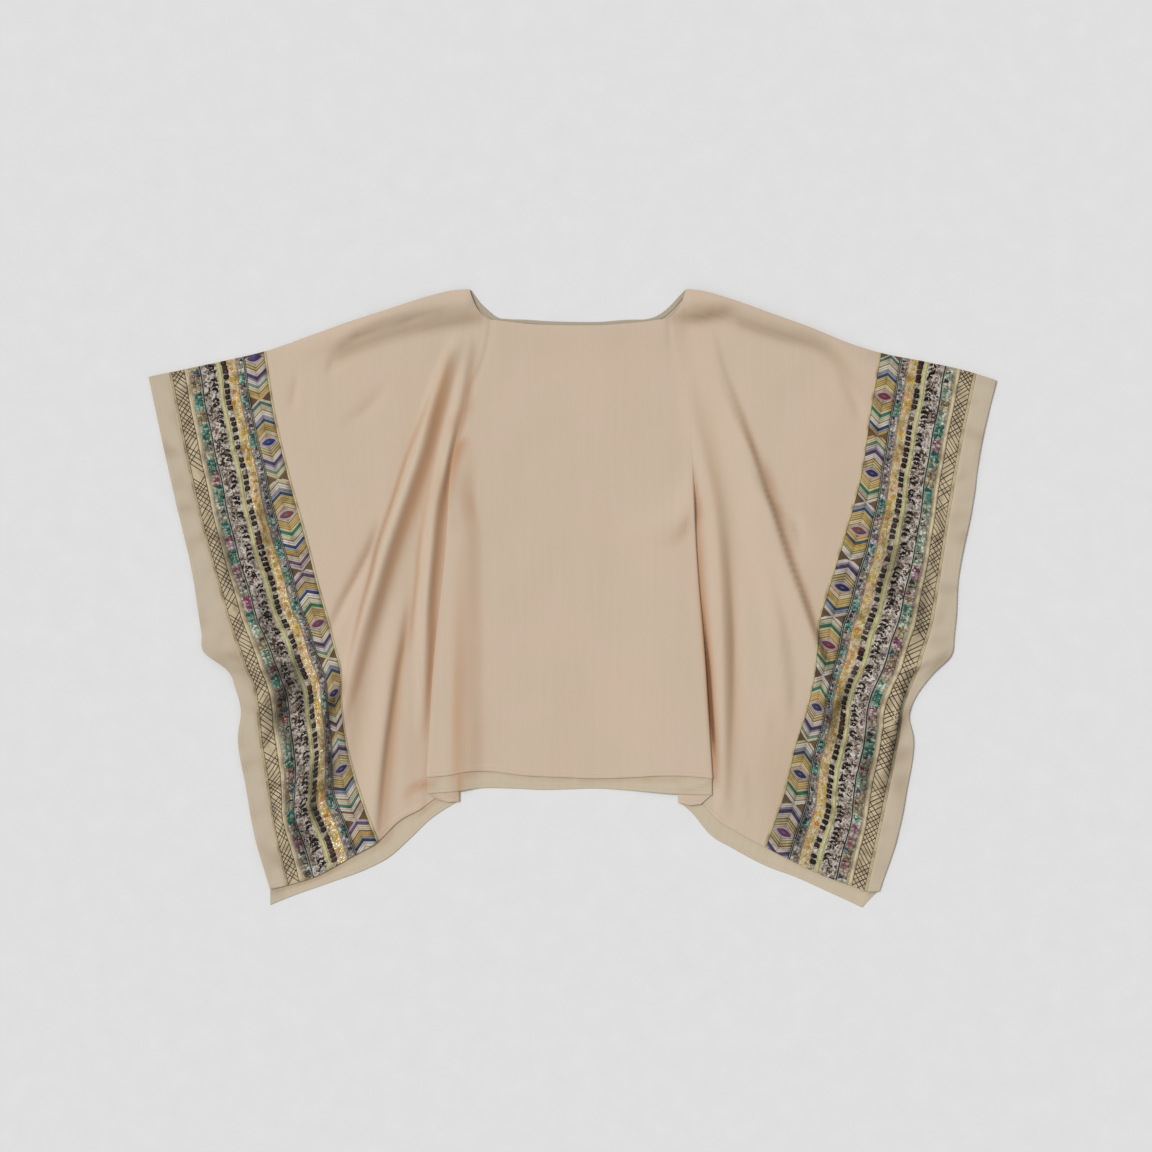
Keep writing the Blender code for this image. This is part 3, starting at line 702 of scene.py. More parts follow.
def crepe_cloth(name, colour, streak_colour, blush):
    """Polyester crepe, piece dyed: matt with a soft sheen, fine grain and faint warp streaks."""
    material, shader, add = new_material(name)
    cloth = add("UVMap", uv_map="cloth")
    apart = add("SeparateXYZ", {0: cloth})
    long_grain = add("Mapping", {0: cloth, "Scale": (1.0, 0.04, 1.0)})
    streak = add("TexNoise", {"Vector": long_grain, "Scale": 160.0, "Detail": 3.0})
    cloud = add("TexNoise", {"Vector": cloth, "Scale": 7.0, "Detail": 2.0})
    grain = add("TexNoise", {"Vector": cloth, "Scale": 1 / CREPE_GRAIN, "Detail": 2.0})
    coloured = add("Mix", {0: streak, 6: streak_colour, 7: colour}, data_type="RGBA")
    clouded = add("MapRange", {0: cloud, 1: 0.45, 2: 0.75, 4: 0.35})
    coloured = add("Mix", {0: clouded, 6: coloured, 7: blush}, data_type="RGBA")

    # The tones kept on the mesh: the margin past a band, the painted shade in the folds and its warmth.
    tones = add("SeparateColor", {0: add("VertexColor", layer_name="margin_and_painted_shade")})
    margin, shade, warmth = tones.outputs
    deep = add("MapRange", {0: shade, 1: 1.0, 2: 1.5})
    tint = add("Mix", {0: warmth, 6: SHADE_COLOUR, 7: WARM_SHADE}, data_type="RGBA")
    tint = add("Mix", {0: deep, 6: tint, 7: DEEP_SHADE}, data_type="RGBA")
    for part, over, most in ((margin, MARGIN_COLOUR, 0.75), (shade, tint, 0.66)):
        share = add("Math", {0: part, 1: most}, operation="MULTIPLY")
        coloured = add("Mix", {0: share, 6: coloured, 7: over}, data_type="RGBA")

    # The bump of a plain weave, with the crepe's grain over it.
    threads = []
    for axis in (0, 1):
        turns = add("Math", {0: apart.outputs[axis], 1: 2 * math.pi / WARP_PITCH}, operation="MULTIPLY")
        threads.append(add("Math", {0: turns}, operation="SINE"))
    weave = add("Math", {0: threads[0], 1: threads[1]}, operation="MULTIPLY")
    grained = add("Math", {0: grain, 1: 3.0, 2: weave}, operation="MULTIPLY_ADD")
    bump = add("Bump", {"Height": grained, "Strength": 0.35, "Distance": 0.08 * MM})
    feed(shader, {"Base Color": coloured, "Normal": bump, "Roughness": 0.72, "Sheen Weight": 0.18,
                  "Sheen Roughness": 0.45, "Specular IOR Level": 0.3})
    return material


def sewing_thread(name, colour):
    """Twisted polyester sewing thread: a plain colour with the twist's fine ridges."""
    material, shader, add = new_material(name)
    places = add("TexCoord").outputs["Object"]
    twist = add("TexNoise", {"Vector": places, "Scale": 1400.0, "Detail": 1.0})
    # Painted shade: the colour is darker where the twist's bumps are low.
    darker = (*(0.8 * channel for channel in linear(colour)[:3]), 1)
    twist_shaded_colour = add("Mix", {0: twist, 6: darker, 7: colour}, data_type="RGBA")
    bump = add("Bump", {"Height": twist, "Strength": 0.4, "Distance": 0.1 * MM})
    feed(shader, {"Base Color": twist_shaded_colour, "Normal": bump, "Roughness": 0.6})
    return material


def mottled(add, cloth, colour):
    """The colour darkened towards brown in random patches of 8 to 20 mm."""
    mottle = add("TexNoise", {"Vector": cloth, "Scale": 52.0, "Detail": 4.0})
    spread = add("MapRange", {0: mottle, 1: 0.36, 2: 0.54, 3: 0.42, 4: 0.0})
    brown_patches = add("Mix", {0: spread, 6: (1, 1, 1, 1), 7: "6B5238"}, data_type="RGBA")
    return add("VectorMath", {0: colour, 1: brown_patches}, operation="MULTIPLY")


# The stripes across a band, in millimetres from its outer edge, with their ground colour
# and what is laid over it: patches, blotches, speckle or chevrons.
Stripe = namedtuple("Stripe", "start colour over")
STRIPES = table(Stripe,
    (0.0, "D8C9A4", ""), (1.3, "B7A378", ""), (2.0, "D8C9A4", ""), (3.5, "4A3C30", ""), (4.1, "D0BF9E", ""),
    (20.1, "4A3C30", ""), (20.8, "DACBA8", ""), (25.2, "B99A74", ""), (26.2, "B4AE98", "patches"),
    (41.2, "1D3335", ""), (42.4, "CFC8BA", ""), (43.4, "ADA297", "speckle"), (64.3, "C6BC88", ""),
    (71.2, "8A7F72", "speckle"), (79.6, "CDB888", "blotches"), (92.2, "B08C80", ""),
    (93.0, "A9A39C", "patches"), (103.8, "26262E", ""), (104.6, "CBC4B8", ""), (105.2, "26262E", ""),
    (106.2, "CFBFA8", "chevrons"), (134.4, "5A4A38", ""), (135.0, "DCCB9B", ""),
)
CHEVRON_MIDDLE = 120.3 * MM
CHEVRON_SLOPE = 0.66
CHEVRON_REACH = 110 * MM
BAND_LENGTH = 0.8  # metres, a little over the length of a band
OVERS = {"": (0, 0, 0, 0), "patches": (1, 0, 0, 0), "blotches": (0, 1, 0, 0), "speckle": (0, 0, 1, 0),
         "chevrons": (0, 0, 0, 1)}

# Chevrons, outwards from an eye, in millimetres with their colour. Each eye takes one set
# towards the shoulder and one towards the hem.
Chevron = namedtuple("Chevron", "start colour")
RISING_SET = table(Chevron,
    (0, "B09A92"), (9.5, "CDB78E"), (11.5, "B9885C"), (12.6, "D6C6A6"), (18, "8E8A5C"), (19, "C4A668"),
    (25, "A89A5E"), (26, "CDB684"), (30.5, "3E4E66"), (34, "8FA0A8"), (37.5, "A79BAC"), (40, "DAD0C0"),
    (47, "8F8B6A"), (48.4, "CDC0A4"), (56, "4C7A6E"), (60, "DAD0C0"), (66, "7A5848"), (69, "CDBEA6"),
    (80, "3E6252"), (84, "CABB98"),
)
FALLING_SET = table(Chevron,
    (0, "A59AAE"), (10, "CBB995"), (12.5, "8B8F66"), (13.5, "CCB98A"), (16.5, "8B8F66"), (17.5, "C2A874"),
    (21, "86694E"), (22.2, "D8CCC0"), (30, "584E68"), (35, "978BA4"), (38, "D4C8BC"), (44, "6F9082"),
    (47.5, "CFC39C"), (54, "8B7A50"), (55.4, "C5A86A"), (64, "6B6A86"), (68, "D2C8BA"), (78, "386656"),
    (82, "CBB88C"), (92, "6A5878"),
)
ROSE_SET = table(Chevron,
    (0, "967E86"), (9, "C0A06A"), (13, "CDB478"), (17, "4E5A78"), (21, "C6A65C"), (26, "D0B874"),
    (30.5, "8C8558"), (32, "CDBE96"), (33.5, "8C8558"), (35, "DAD1BF"), (43, "643A56"), (46.5, "A07C88"),
    (49, "DDD6CA"), (56, "865E54"), (60, "AF9886"), (62.5, "CABDA8"), (70, "5C7870"), (74, "C8B68E"),
    (82, "786886"), (86, "CCC0AC"),
)
GREEN_SET = table(Chevron,
    (0, "B09A92"), (9, "CFB28A"), (12, "8E8A5C"), (13, "CCB07C"), (19, "C2A562"), (23, "CDBE9C"),
    (27, "468062"), (31.5, "B4BD9E"), (34, "D4C9AE"), (39, "8C8558"), (40.2, "D9D0C2"), (47, "34446A"),
    (51, "98A0B0"), (54, "C2A266"), (62, "7A6A50"), (63.6, "CBBDA6"), (72, "664C6A"), (76, "B2A2AC"),
    (80, "CBBEA8"),
)
SETS = {"rising": (0.0, RISING_SET), "falling": (0.33, FALLING_SET), "rose": (0.67, ROSE_SET),
        "green": (1.0, GREEN_SET)}

# The eyes down each band: how far along each lies, in millimetres, its colour, and its sets
# of chevrons towards the shoulder and towards the hem.
Eye = namedtuple("Eye", "along colour shoulder_set hem_set")
LEFT_EYES = table(Eye,
    (3, "4A3C78", "falling", "falling"), (128, "28397A", "rising", "falling"),
    (235, "74443E", "rising", "green"), (398, "783A48", "green", "falling"),
    (500, "2A2C4C", "rising", "rose"), (612, "342E5C", "falling", "rising"),
    (768, "783A48", "green", "falling"),
)
RIGHT_EYES = table(Eye,
    (60, "7A2E38", "rising", "green"), (172, "2A3048", "falling", "green"),
    (256, "74443E", "rising", "rose"), (340, "2A3050", "falling", "rising"),
    (425, "7C3440", "green", "green"), (517, "3A3C58", "green", "falling"),
    (616, "2C3A54", "rising", "green"), (703, "6A3A50", "falling", "falling"),
)
PATCH_COLOURS = ("B3B496", "5E8F84", "C9B894", "7A4648", "A9BBA0", "9C7A58", "5C7A72", "BDB3A6", "6A4A5E")
BLOTCH_COLOURS = ("CB9054", "CDAA5C", "D2C08A", "E0D6B4", "D2AC90", "D2BC76", "C0A04E")


def middles(eyes, end):
    """Where the chevrons of one eye meet the next one's, before and after each eye, in millimetres."""
    alongs = column(eyes, "along")
    halfway = (alongs[:-1] + alongs[1:]) / 2
    return zip([0.0, *halfway], [*halfway, end])


def eye_stops(eyes):
    """Ramp stops along a band: the eye's place, how far its chevrons reach, and their set."""
    stops = []
    for eye, (before, after) in zip(eyes, middles(eyes, BAND_LENGTH / MM)):
        centre = eye.along * MM / BAND_LENGTH
        for start, end, chevrons in ((before, eye.along, eye.shoulder_set), (eye.along, after, eye.hem_set)):
            reach = (end - start) * MM / CHEVRON_REACH
            stops.append((start * MM / BAND_LENGTH, (centre, reach, SETS[chevrons][0], 1)))
    return stops


def patchy(add, cloth, stretch, scale, detail, colours):
    """Colours in soft patches, longer one way, each as common as the others."""
    places = add("Mapping", {0: cloth, "Scale": stretch})
    patch = add("TexNoise", {"Vector": places, "Scale": scale, "Detail": detail})
    spread = add("MapRange", {0: patch, 1: 0.3, 2: 0.7})
    stops = [(number / len(colours), colour) for number, colour in enumerate(colours)]
    return add("ValToRGB", {0: spread}, stops)


ROW_PITCH = 1.5 * MM  # rows of thread across the band, drawn coarser than the real 0.5 mm
CHEVRON_ROW_PITCH = 2.2 * MM
WAVER = (1.2 * MM, 2.5 * MM, 0)  # how far a stripe's edge strays across and along


def band_cloth(name, eyes):
    """Jacquard band with stitched rows: many colours across, chevrons round eyes down its inner side."""
    material, shader, add = new_material(name)
    cloth = add("UVMap", uv_map="cloth")
    wobble = add("TexNoise", {"Vector": cloth, "Scale": 90.0, "Detail": 2.0})
    shifted = add("VectorMath", {0: wobble.outputs["Color"], 1: (0.5, 0.5, 0.5)}, operation="SUBTRACT")
    drawn = add("VectorMath", {0: shifted, 1: WAVER, 2: cloth}, operation="MULTIPLY_ADD")
    across, along, _ = add("SeparateXYZ", {0: drawn}).outputs
    share = add("Math", {0: across, 1: BAND_WIDTH}, operation="DIVIDE")
    starts = column(STRIPES, "start") * MM / BAND_WIDTH
    colours = [stripe.colour for stripe in STRIPES]
    ground = add("ValToRGB", {0: share}, list(zip(starts, colours)), "CONSTANT")
    kinds = [OVERS[stripe.over] for stripe in STRIPES]
    over = add("ValToRGB", {0: share}, list(zip(starts, kinds)), "CONSTANT")
    in_patches, in_blotches, in_speckle = add("SeparateColor", {0: over}).outputs
    in_chevrons = over.outputs["Alpha"]

    # Patches of colour, 10 to 20 mm long, that fill the two stripes of triangles.
    patches = patchy(add, cloth, (0.35, 1.0, 1.0), 75.0, 1.0, PATCH_COLOURS)
    share = add("Math", {0: in_patches, 1: 0.62}, operation="MULTIPLY")
    coloured = add("Mix", {0: share, 6: ground, 7: patches}, data_type="RGBA")

    # Flower blotches in yellow, orange and pink, about 8 mm across and 15 mm long.
    blotches = patchy(add, cloth, (1.0, 0.5, 1.0), 105.0, 3.0, BLOTCH_COLOURS)
    coloured = add("Mix", {0: in_blotches, 6: coloured, 7: blotches}, data_type="RGBA")

    # Grey and white speckle of marled yarn, 1 to 2 mm.
    speck = add("TexNoise", {"Vector": cloth, "Scale": 210.0, "Detail": 4.0})
    specks = add("ValToRGB", {0: speck}, ((0.36, "4A3A2E"), (0.46, "94867A"), (0.6, "D8D0C6")))
    share = add("Math", {0: in_speckle, 1: 0.8}, operation="MULTIPLY")
    coloured = add("Mix", {0: share, 6: coloured, 7: specks}, data_type="RGBA")

    # Chevrons: how far each place lies from its eye, across counted less than along.
    down_band = add("Math", {0: along, 1: BAND_LENGTH}, operation="DIVIDE")
    lookup = add("ValToRGB", {0: down_band}, eye_stops(eyes), "CONSTANT")
    eye_at, eye_reach, eye_set = add("SeparateColor", {0: lookup}).outputs
    off_eye = add("Math", {0: down_band, 1: eye_at}, operation="SUBTRACT")
    off_eye = add("Math", {0: off_eye}, operation="ABSOLUTE")
    aside = add("Math", {0: across, 1: CHEVRON_MIDDLE}, operation="SUBTRACT")
    aside = add("Math", {0: aside}, operation="ABSOLUTE")
    aside = add("Math", {0: aside, 1: CHEVRON_SLOPE / CHEVRON_REACH}, operation="MULTIPLY")
    outward = add("Math", {0: off_eye, 1: BAND_LENGTH / CHEVRON_REACH, 2: aside}, operation="MULTIPLY_ADD")
    sets = []
    for _, chevrons in SETS.values():
        stops = [(chevron.start * MM / CHEVRON_REACH, chevron.colour) for chevron in chevrons]
        sets.append(add("ValToRGB", {0: outward}, stops, "CONSTANT"))
    chosen = sets[0]
    for colours, past in zip(sets[1:], (0.17, 0.5, 0.83)):
        share = add("Math", {0: eye_set, 1: past}, operation="GREATER_THAN")
        chosen = add("Mix", {0: share, 6: chosen, 7: colours}, data_type="RGBA")
    # Brown corners fill the sides where the chevrons of two eyes meet.
    beyond = add("Math", {0: outward, 1: eye_reach}, operation="SUBTRACT")
    corner = add("Math", {0: beyond, 1: 0.018}, operation="GREATER_THAN")
    chosen = add("Mix", {0: corner, 6: chosen, 7: "6A543F"}, data_type="RGBA")
    coloured = add("Mix", {0: in_chevrons, 6: coloured, 7: chosen}, data_type="RGBA")

    # Rows of thread: along the chevrons inside, straight across the band elsewhere.
    rows = add("Mix", {0: in_chevrons, 2: along, 3: outward})
    rates = 2 * math.pi / ROW_PITCH, 2 * math.pi * CHEVRON_REACH / CHEVRON_ROW_PITCH
    row_rate = add("Mix", {0: in_chevrons, 2: rates[0], 3: rates[1]})
    turns = add("Math", {0: rows, 1: row_rate}, operation="MULTIPLY")
    thread = add("Math", {0: turns}, operation="SINE")
    nub = add("TexNoise", {"Vector": cloth, "Scale": 900.0, "Detail": 2.0})
    height = add("Math", {0: nub, 1: 2.2, 2: thread}, operation="MULTIPLY_ADD")
    # Painted shade and light: the colour is darker in the hollows between the rows of thread and a little
    # lighter on their crests.
    darker = add("MapRange", {0: height, 1: -0.6, 2: 2.4, 3: 0.74, 4: 1.06})
    # Painted shade: the band darkens towards brown where the shade map lies in its folds and crumples.
    tones = add("SeparateColor", {0: add("VertexColor", layer_name="margin_and_painted_shade")})
    share = add("Math", {0: tones.outputs[1], 1: 0.75}, operation="MULTIPLY")
    coloured = add("Mix", {0: share, 6: coloured, 7: "3E2E20"}, data_type="RGBA")
    thread_shaded = add("VectorMath", {0: coloured, "Scale": darker}, operation="SCALE")
    bump = add("Bump", {"Height": height, "Strength": 0.6, "Distance": 0.18 * MM})

    # Gold thread flecks in the blotches: small cells that turn metallic.
    fleck = add("TexVoronoi", {"Vector": cloth, "Scale": 620.0})
    fleck_colour = add("SeparateColor", {0: fleck.outputs["Color"]})
    bright = add("Math", {0: fleck_colour, 1: 0.8}, operation="GREATER_THAN")
    gold = add("Math", {0: bright, 1: in_blotches}, operation="MULTIPLY")
    metal = add("Math", {0: gold, 1: 0.85}, operation="MULTIPLY")
    rough = add("MapRange", {0: gold, 3: 0.66, 4: 0.3})
    feed(shader, {"Base Color": mottled(add, cloth, thread_shaded), "Normal": bump, "Metallic": metal,
                  "Roughness": rough, "Specular IOR Level": 0.2})
    return material


FLOSS_PITCH = 0.8 * MM  # from one strand of floss to the next, about twice the real one


def satin_stitch(name):
    """Rayon satin stitch: glossy floss laid side by side, its colour kept on the mesh."""
    material, shader, add = new_material(name)
    colour = add("VertexColor", layer_name="floss")
    cloth = add("UVMap", uv_map="cloth")
    along = add("SeparateXYZ", {0: cloth}).outputs[1]
    turns = add("Math", {0: along, 1: 2 * math.pi / FLOSS_PITCH}, operation="MULTIPLY")
    strand = add("Math", {0: turns}, operation="SINE")
    # Painted shade between the strands of floss and painted light along them.
    shade = add("MapRange", {0: strand, 1: -1.0, 2: 1.0, 3: 0.72, 4: 1.08})
    shaded = add("VectorMath", {0: colour, "Scale": shade}, operation="SCALE")
    bump = add("Bump", {"Height": strand, "Strength": 0.35, "Distance": 0.1 * MM})
    feed(shader, {"Base Color": mottled(add, cloth, shaded), "Normal": bump, "Roughness": 0.48,
                  "Specular IOR Level": 0.2})
    return material


def studio_floor():
    """Seamless studio paper: pale grey, matt, with a faint mottle."""
    material, shader, add = new_material("pale seamless paper")
    places = add("TexCoord").outputs["Object"]
    mottle = add("TexNoise", {"Vector": places, "Scale": 30.0, "Detail": 4.0})
    paper = add("Mix", {0: mottle, 6: "E1E1E1", 7: "E9E9E9"}, data_type="RGBA")
    feed(shader, {"Base Color": paper, "Roughness": 0.9, "Specular IOR Level": 0.1})
    return material


CRUMPLE_STRETCH = 0.6  # the painted shade of the margin's hollows lies longer across than along
WARM_ENDS_LEFT = (0.21, 0.29)  # metres from the middle over which the shade turns from warm to grey
WARM_ENDS_RIGHT = (0.197, 0.208)
WARM_ENDS_TOP = (0.30, 0.36)


def cloth_tones(places, columns, shade):
    """How far each place lies in the margin past a band, how deep in the shade, and how warm that is."""
    half = 1 - step(BAND_OUTER - MARGIN_FADE, BAND_OUTER, half_way(columns))
    margin = np.broadcast_to(np.concatenate([half, half[-2::-1]]), places.shape[:2])
    across, up = places[..., 0], places[..., 1]
    # Painted shade in soft patches over the margin, for the shade of its small crumples.
    painted_crumple_shade = np.array([waves(*row, PUCKER_SPAN) for row in zip(across * CRUMPLE_STRETCH, up)])
    shades = shade_at(shade, places) + CRUMPLED * margin * np.maximum(painted_crumple_shade, 0)
    past_body = np.where(across < 0, step(*WARM_ENDS_LEFT, -across), step(*WARM_ENDS_RIGHT, across))
    warm = (1 - 0.5 * past_body) * (1 - step(*WARM_ENDS_TOP, up)) * (1 - margin)
    return np.stack([margin, shades, warm], axis=-1)


def front_downs():
    downs = steps_between(FRONT_ROWS, column(LEFT_STATIONS, "down"))
    return np.unique(np.concatenate([downs, HEM_DOWNS, RIM_DOWNS]))


def add_front(outside, inside):
    places = np.array([both_halves(front_row, down, columns=FRONT_COLUMNS) for down in front_downs()])
    shade = shade_map(places)
    tones = cloth_tones(places, FRONT_COLUMNS, shade)
    front = add_sheet("front_cloth", places, cloth_map(places), tones, CLOTH_WALL, 0, outside, inside)
    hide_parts("front_panel")
    return front, places, shade


BACK_HEM_PARTS = (0.25, 0.5, 0.75, 0.93, 1)  # rows over the stretch that shows below the front
BACK_NECK_RIM = 0.07  # of the first row's height, for a row just inside the neck edge


def add_back(outside, inside, shade):
    downs = steps_between(BACK_ROWS, column(LEFT_STATIONS, "down"))
    neck = both_halves(back_neck_row, columns=BACK_COLUMNS)
    rows = [both_halves(back_row, down, columns=BACK_COLUMNS) for down in downs[1:]]
    hem = both_halves(back_hem_row, columns=BACK_COLUMNS)
    past = [rows[-1] * (1 - part) + hem * part for part in BACK_HEM_PARTS]
    rim = neck * (1 - BACK_NECK_RIM) + rows[0] * BACK_NECK_RIM
    places = np.array([neck, rim] + rows + past)
    tones = cloth_tones(places, BACK_COLUMNS, shade)
    back = add_sheet("back_cloth", places, cloth_map(places), tones, CLOTH_WALL, 0, inside, outside)
    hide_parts("back_panel")
    return back, places


BAND_COLUMNS = 60
BAND_RIM = 0.006
WANDERS = ((0.014, 11, 0.4), (0.008, 27, 1.9), (0.005, 61, 0.2))  # share of the width, rate, start
GATHERS = {  # how far the band's middle is drawn inwards, as a share of its width, at stations down
    LEFT: ((0, 0), (0.5, 0), (0.563, 0.04), (0.619, 0.03), (0.675, 0.07), (0.73, 0.08), (0.79, 0.1),
           (0.83, 0.03), (0.87, -0.05), (0.92, -0.02), (1, 0.02)),
    RIGHT: ((0, 0), (0.5, 0), (0.6, 0.02), (0.68, 0.07), (0.74, 0.03), (0.8, 0.06), (0.88, 0.0),
            (1, 0.02)),
}


def band_places(side):
    """The front's middle under one band, from its outer edge to its inner one, row by row."""
    way = np.linspace(BAND_OUTER, BAND_INNER, BAND_COLUMNS + 1)
    way = np.insert(way, (1, BAND_COLUMNS), (BAND_OUTER + BAND_RIM, BAND_INNER - BAND_RIM))
    inside = np.sin(math.pi * (way - BAND_OUTER))
    rows = []
    for down in front_downs():
        wander = sum(most * math.sin(down * turns + start) for most, turns, start in WANDERS)
        wander += np.interp(down, *np.array(GATHERS[side]).T)
        rows.append(np.stack(front_row(side, down, way + wander * inside), axis=-1))
    return np.array(rows)


def band_map(places):
    """The band's own map: metres across from its outer edge and along from the shoulder."""
    middle = places[:, places.shape[1] // 2]
    along = np.concatenate([[0], np.cumsum(np.linalg.norm(np.diff(middle, axis=0), axis=1))])
    shares = np.insert(np.linspace(0, 1, BAND_COLUMNS + 1), (1, BAND_COLUMNS), (BAND_RIM, 1 - BAND_RIM))
    return np.stack(np.meshgrid(BAND_WIDTH * shares, along), axis=-1)


def add_band(name, node, side, material, shade):
    places = band_places(side)
    flat = band_map(places)
    turned = slice(None, None, -side.sign)
    places_in_order = places[:, turned]
    none = np.zeros(places.shape[:2])
    tones = np.stack([none, shade_at(shade, places_in_order), none], axis=-1)
    band = add_sheet(name, places_in_order, flat[:, turned], tones, BAND_WALL, BAND_LIFT, material)
    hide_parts(node)
    return band, places, flat


def lay_on_band(bm, side, places, flat):
    """Moves points set out flat, across, along and up, onto the band's outer face."""
    normals = side.sign * np.cross(np.gradient(places, axis=1), np.gradient(places, axis=0))
    normals /= np.linalg.norm(normals, axis=2)[..., None]
    spots = np.array([vert.co for vert in bm.verts])
    column_at = np.interp(spots[:, 0], flat[0, :, 0], np.arange(places.shape[1]))
    row_at = np.interp(spots[:, 1], flat[:, 0, 1], np.arange(len(places)))
    face, normal = (read_grid(grid, row_at, column_at) for grid in (places, normals))
    ends = face + normal * (spots[:, 2:] + (BAND_LIFT + BAND_WALL / 2))
    for vert, end in zip(bm.verts, ends):
        vert.co = end


def motif(shape, *sizes):
    """One small stitched motif, 1 wide, 1 long and 1 high, kept as a mesh to be copied."""
    bm = bmesh.new()
    shape(bm, *sizes)
    bmesh.ops.recalc_face_normals(bm, faces=bm.faces)
    return mesh_of("motif", bm)


def pad(bm):
    bmesh.ops.create_icosphere(bm, subdivisions=1, radius=0.5)


def leaf(bm):
    """A smoother pad, drawn in to a point at both ends."""
    bmesh.ops.create_icosphere(bm, subdivisions=3, radius=0.5)
    for vert in bm.verts:
        vert.co.y *= 1.1 - 2.6 * vert.co.x * vert.co.x


def soften(bm, offset, segments):
    """Rounds every edge of a motif."""
    bmesh.ops.bevel(
        bm, geom=bm.edges[:], offset=offset, segments=segments, profile=0.5, affect="EDGES", material=-1
    )


def triangle(bm):
    """A triangle with its point towards +X and sloping sides."""
    bmesh.ops.create_cone(
        bm, cap_ends=True, segments=3, radius1=0.6, radius2=0.44, depth=1,
        matrix=Matrix.Rotation(-math.pi / 2, 4, "Z"),
    )
    soften(bm, 0.07, 1)


def block(bm):
    """A block with its corners and upper edges rounded."""
    bmesh.ops.create_cube(bm, size=1)
    soften(bm, 0.24, 2)


def knot(bm):
    bmesh.ops.create_cone(bm, cap_ends=True, segments=4, radius1=0.56, radius2=0.3, depth=1)


def sweep(bm, sides, radius, start, quarter, **move):
    """A closed round thread: a disc at its start, a quarter turned about one axis, then swept."""
    place = Matrix.Translation(start) @ Matrix.Rotation(math.pi / 2, 4, quarter)
    bmesh.ops.create_circle(bm, cap_ends=True, segments=sides, radius=radius, matrix=place)
    whole = bm.verts[:] + bm.edges[:] + bm.faces[:]
    bmesh.ops.spin(bm, geom=whole, cent=(0, 0, 0), use_merge=False, **move)


def cord(bm, steps):
    """A straight length of thread along X."""
    sweep(bm, 6, 0.5, (-0.5, 0, 0), "Y", axis=(1, 0, 0), dvec=(1 / steps, 0, 0), angle=0, steps=steps)


def curl(bm, bend, thick):
    """A hooked stroke: a length of cord bent through these degrees of a ring of radius 0.5."""
    sweep(bm, 5, thick / 2, (0.5, 0, 0), "X", axis=(0, 0, 1), angle=math.radians(bend), steps=6)


def sew(bm, shape, colour, across, along, turn, wide, long, high):
    """Copies a motif to its place, turned by degrees and sized in millimetres, in a thread colour."""
    paint = bm.loops.layers.float_color["floss"]
    on_cloth = bm.loops.layers.uv["cloth"]
    first_vert, first_face = len(bm.verts), len(bm.faces)
    bm.from_mesh(shape)
    bm.verts.ensure_lookup_table()
    bm.faces.ensure_lookup_table()
    size = Matrix.Diagonal((wide * MM, long * MM, high * MM, 1))
    turned = Matrix.Rotation(math.radians(turn), 4, "Z")
    place = Matrix.Translation((across * MM, along * MM, 0)) @ turned @ size
    for vert in bm.verts[first_vert:]:
        vert.co = place @ vert.co
    dyed = linear(colour)
    for face in bm.faces[first_face:]:
        for loop in face.loops:
            loop[paint] = dyed
            loop[on_cloth].uv = loop.vert.co.xy


def sew_line(bm, shape, colour, start, end, wide, high):
    """Copies a length of cord from one place to another, in millimetres across and along."""
    run = Vector(end) - Vector(start)
    middle = (Vector(start) + Vector(end)) / 2
    turn = math.degrees(math.atan2(run.y, run.x))
    sew(bm, shape, colour, *middle, turn, run.length, wide, high)


# Couched cords, each with its place across, its colour, its width and its height, and below
# them the rows of small motifs, in millimetres.
COUCHED_CORDS = (
    (0.8, "D6C8A4", 0.9, 1.1), (2.8, "D6C8A4", 0.9, 1.1), (4.1, "4A3C30", 0.7, 1.0),
    (20.4, "4A3C30", 0.7, 1.0), (23.0, "DACBA8", 2.8, 0.9), (41.9, "1A2E30", 1.7, 1.6),
    (43.1, "C9CFC6", 0.7, 0.9), (68.0, "C8C192", 4.8, 1.2), (92.6, "9C6F60", 0.7, 0.9),
    (103.8, "2A2A30", 0.8, 1.3), (104.9, "B9BDB4", 0.6, 0.9), (106.0, "18181E", 1.2, 1.4),
    (134.9, "6A5A44", 0.5, 0.8), (136.7, "D8C8A0", 1.3, 1.2),
)
LATTICE = (4.6, 20.0)  # from and to, across
LATTICE_PITCH = 7.2
LATTICE_COLOURS = ("4A3A2C", "3E3026", "574434")
LATTICE_LEAN = 16.0
DARKS = ("1B1614", "241A16", "15120F", "2B1F1A")
FADED_DARKS = ("4A4038", "5A5048", "342C26")
BROWN_DARKS = ("3A2420", "2E1A18", "4A2C28", "241614")
PALE_KNOTS = ("8A8078", "6E6258", "A39A90", "4E443C")
HOOK_COLOURS = ("5E4A3A", "7A6450", "E4DED6", "CFC4BA", "B49C90", "DAD2CC", "2E221A", "9A8676", "4E3A2C")
KNOT_COLOURS = ("FAF4EA", "EAE0D4", "F6F0E6", "8C765E", "4A3A2E", "241A16", "D8CABC", "4A3828", "F0E6DA")
Patch = namedtuple("Patch", "pads points")
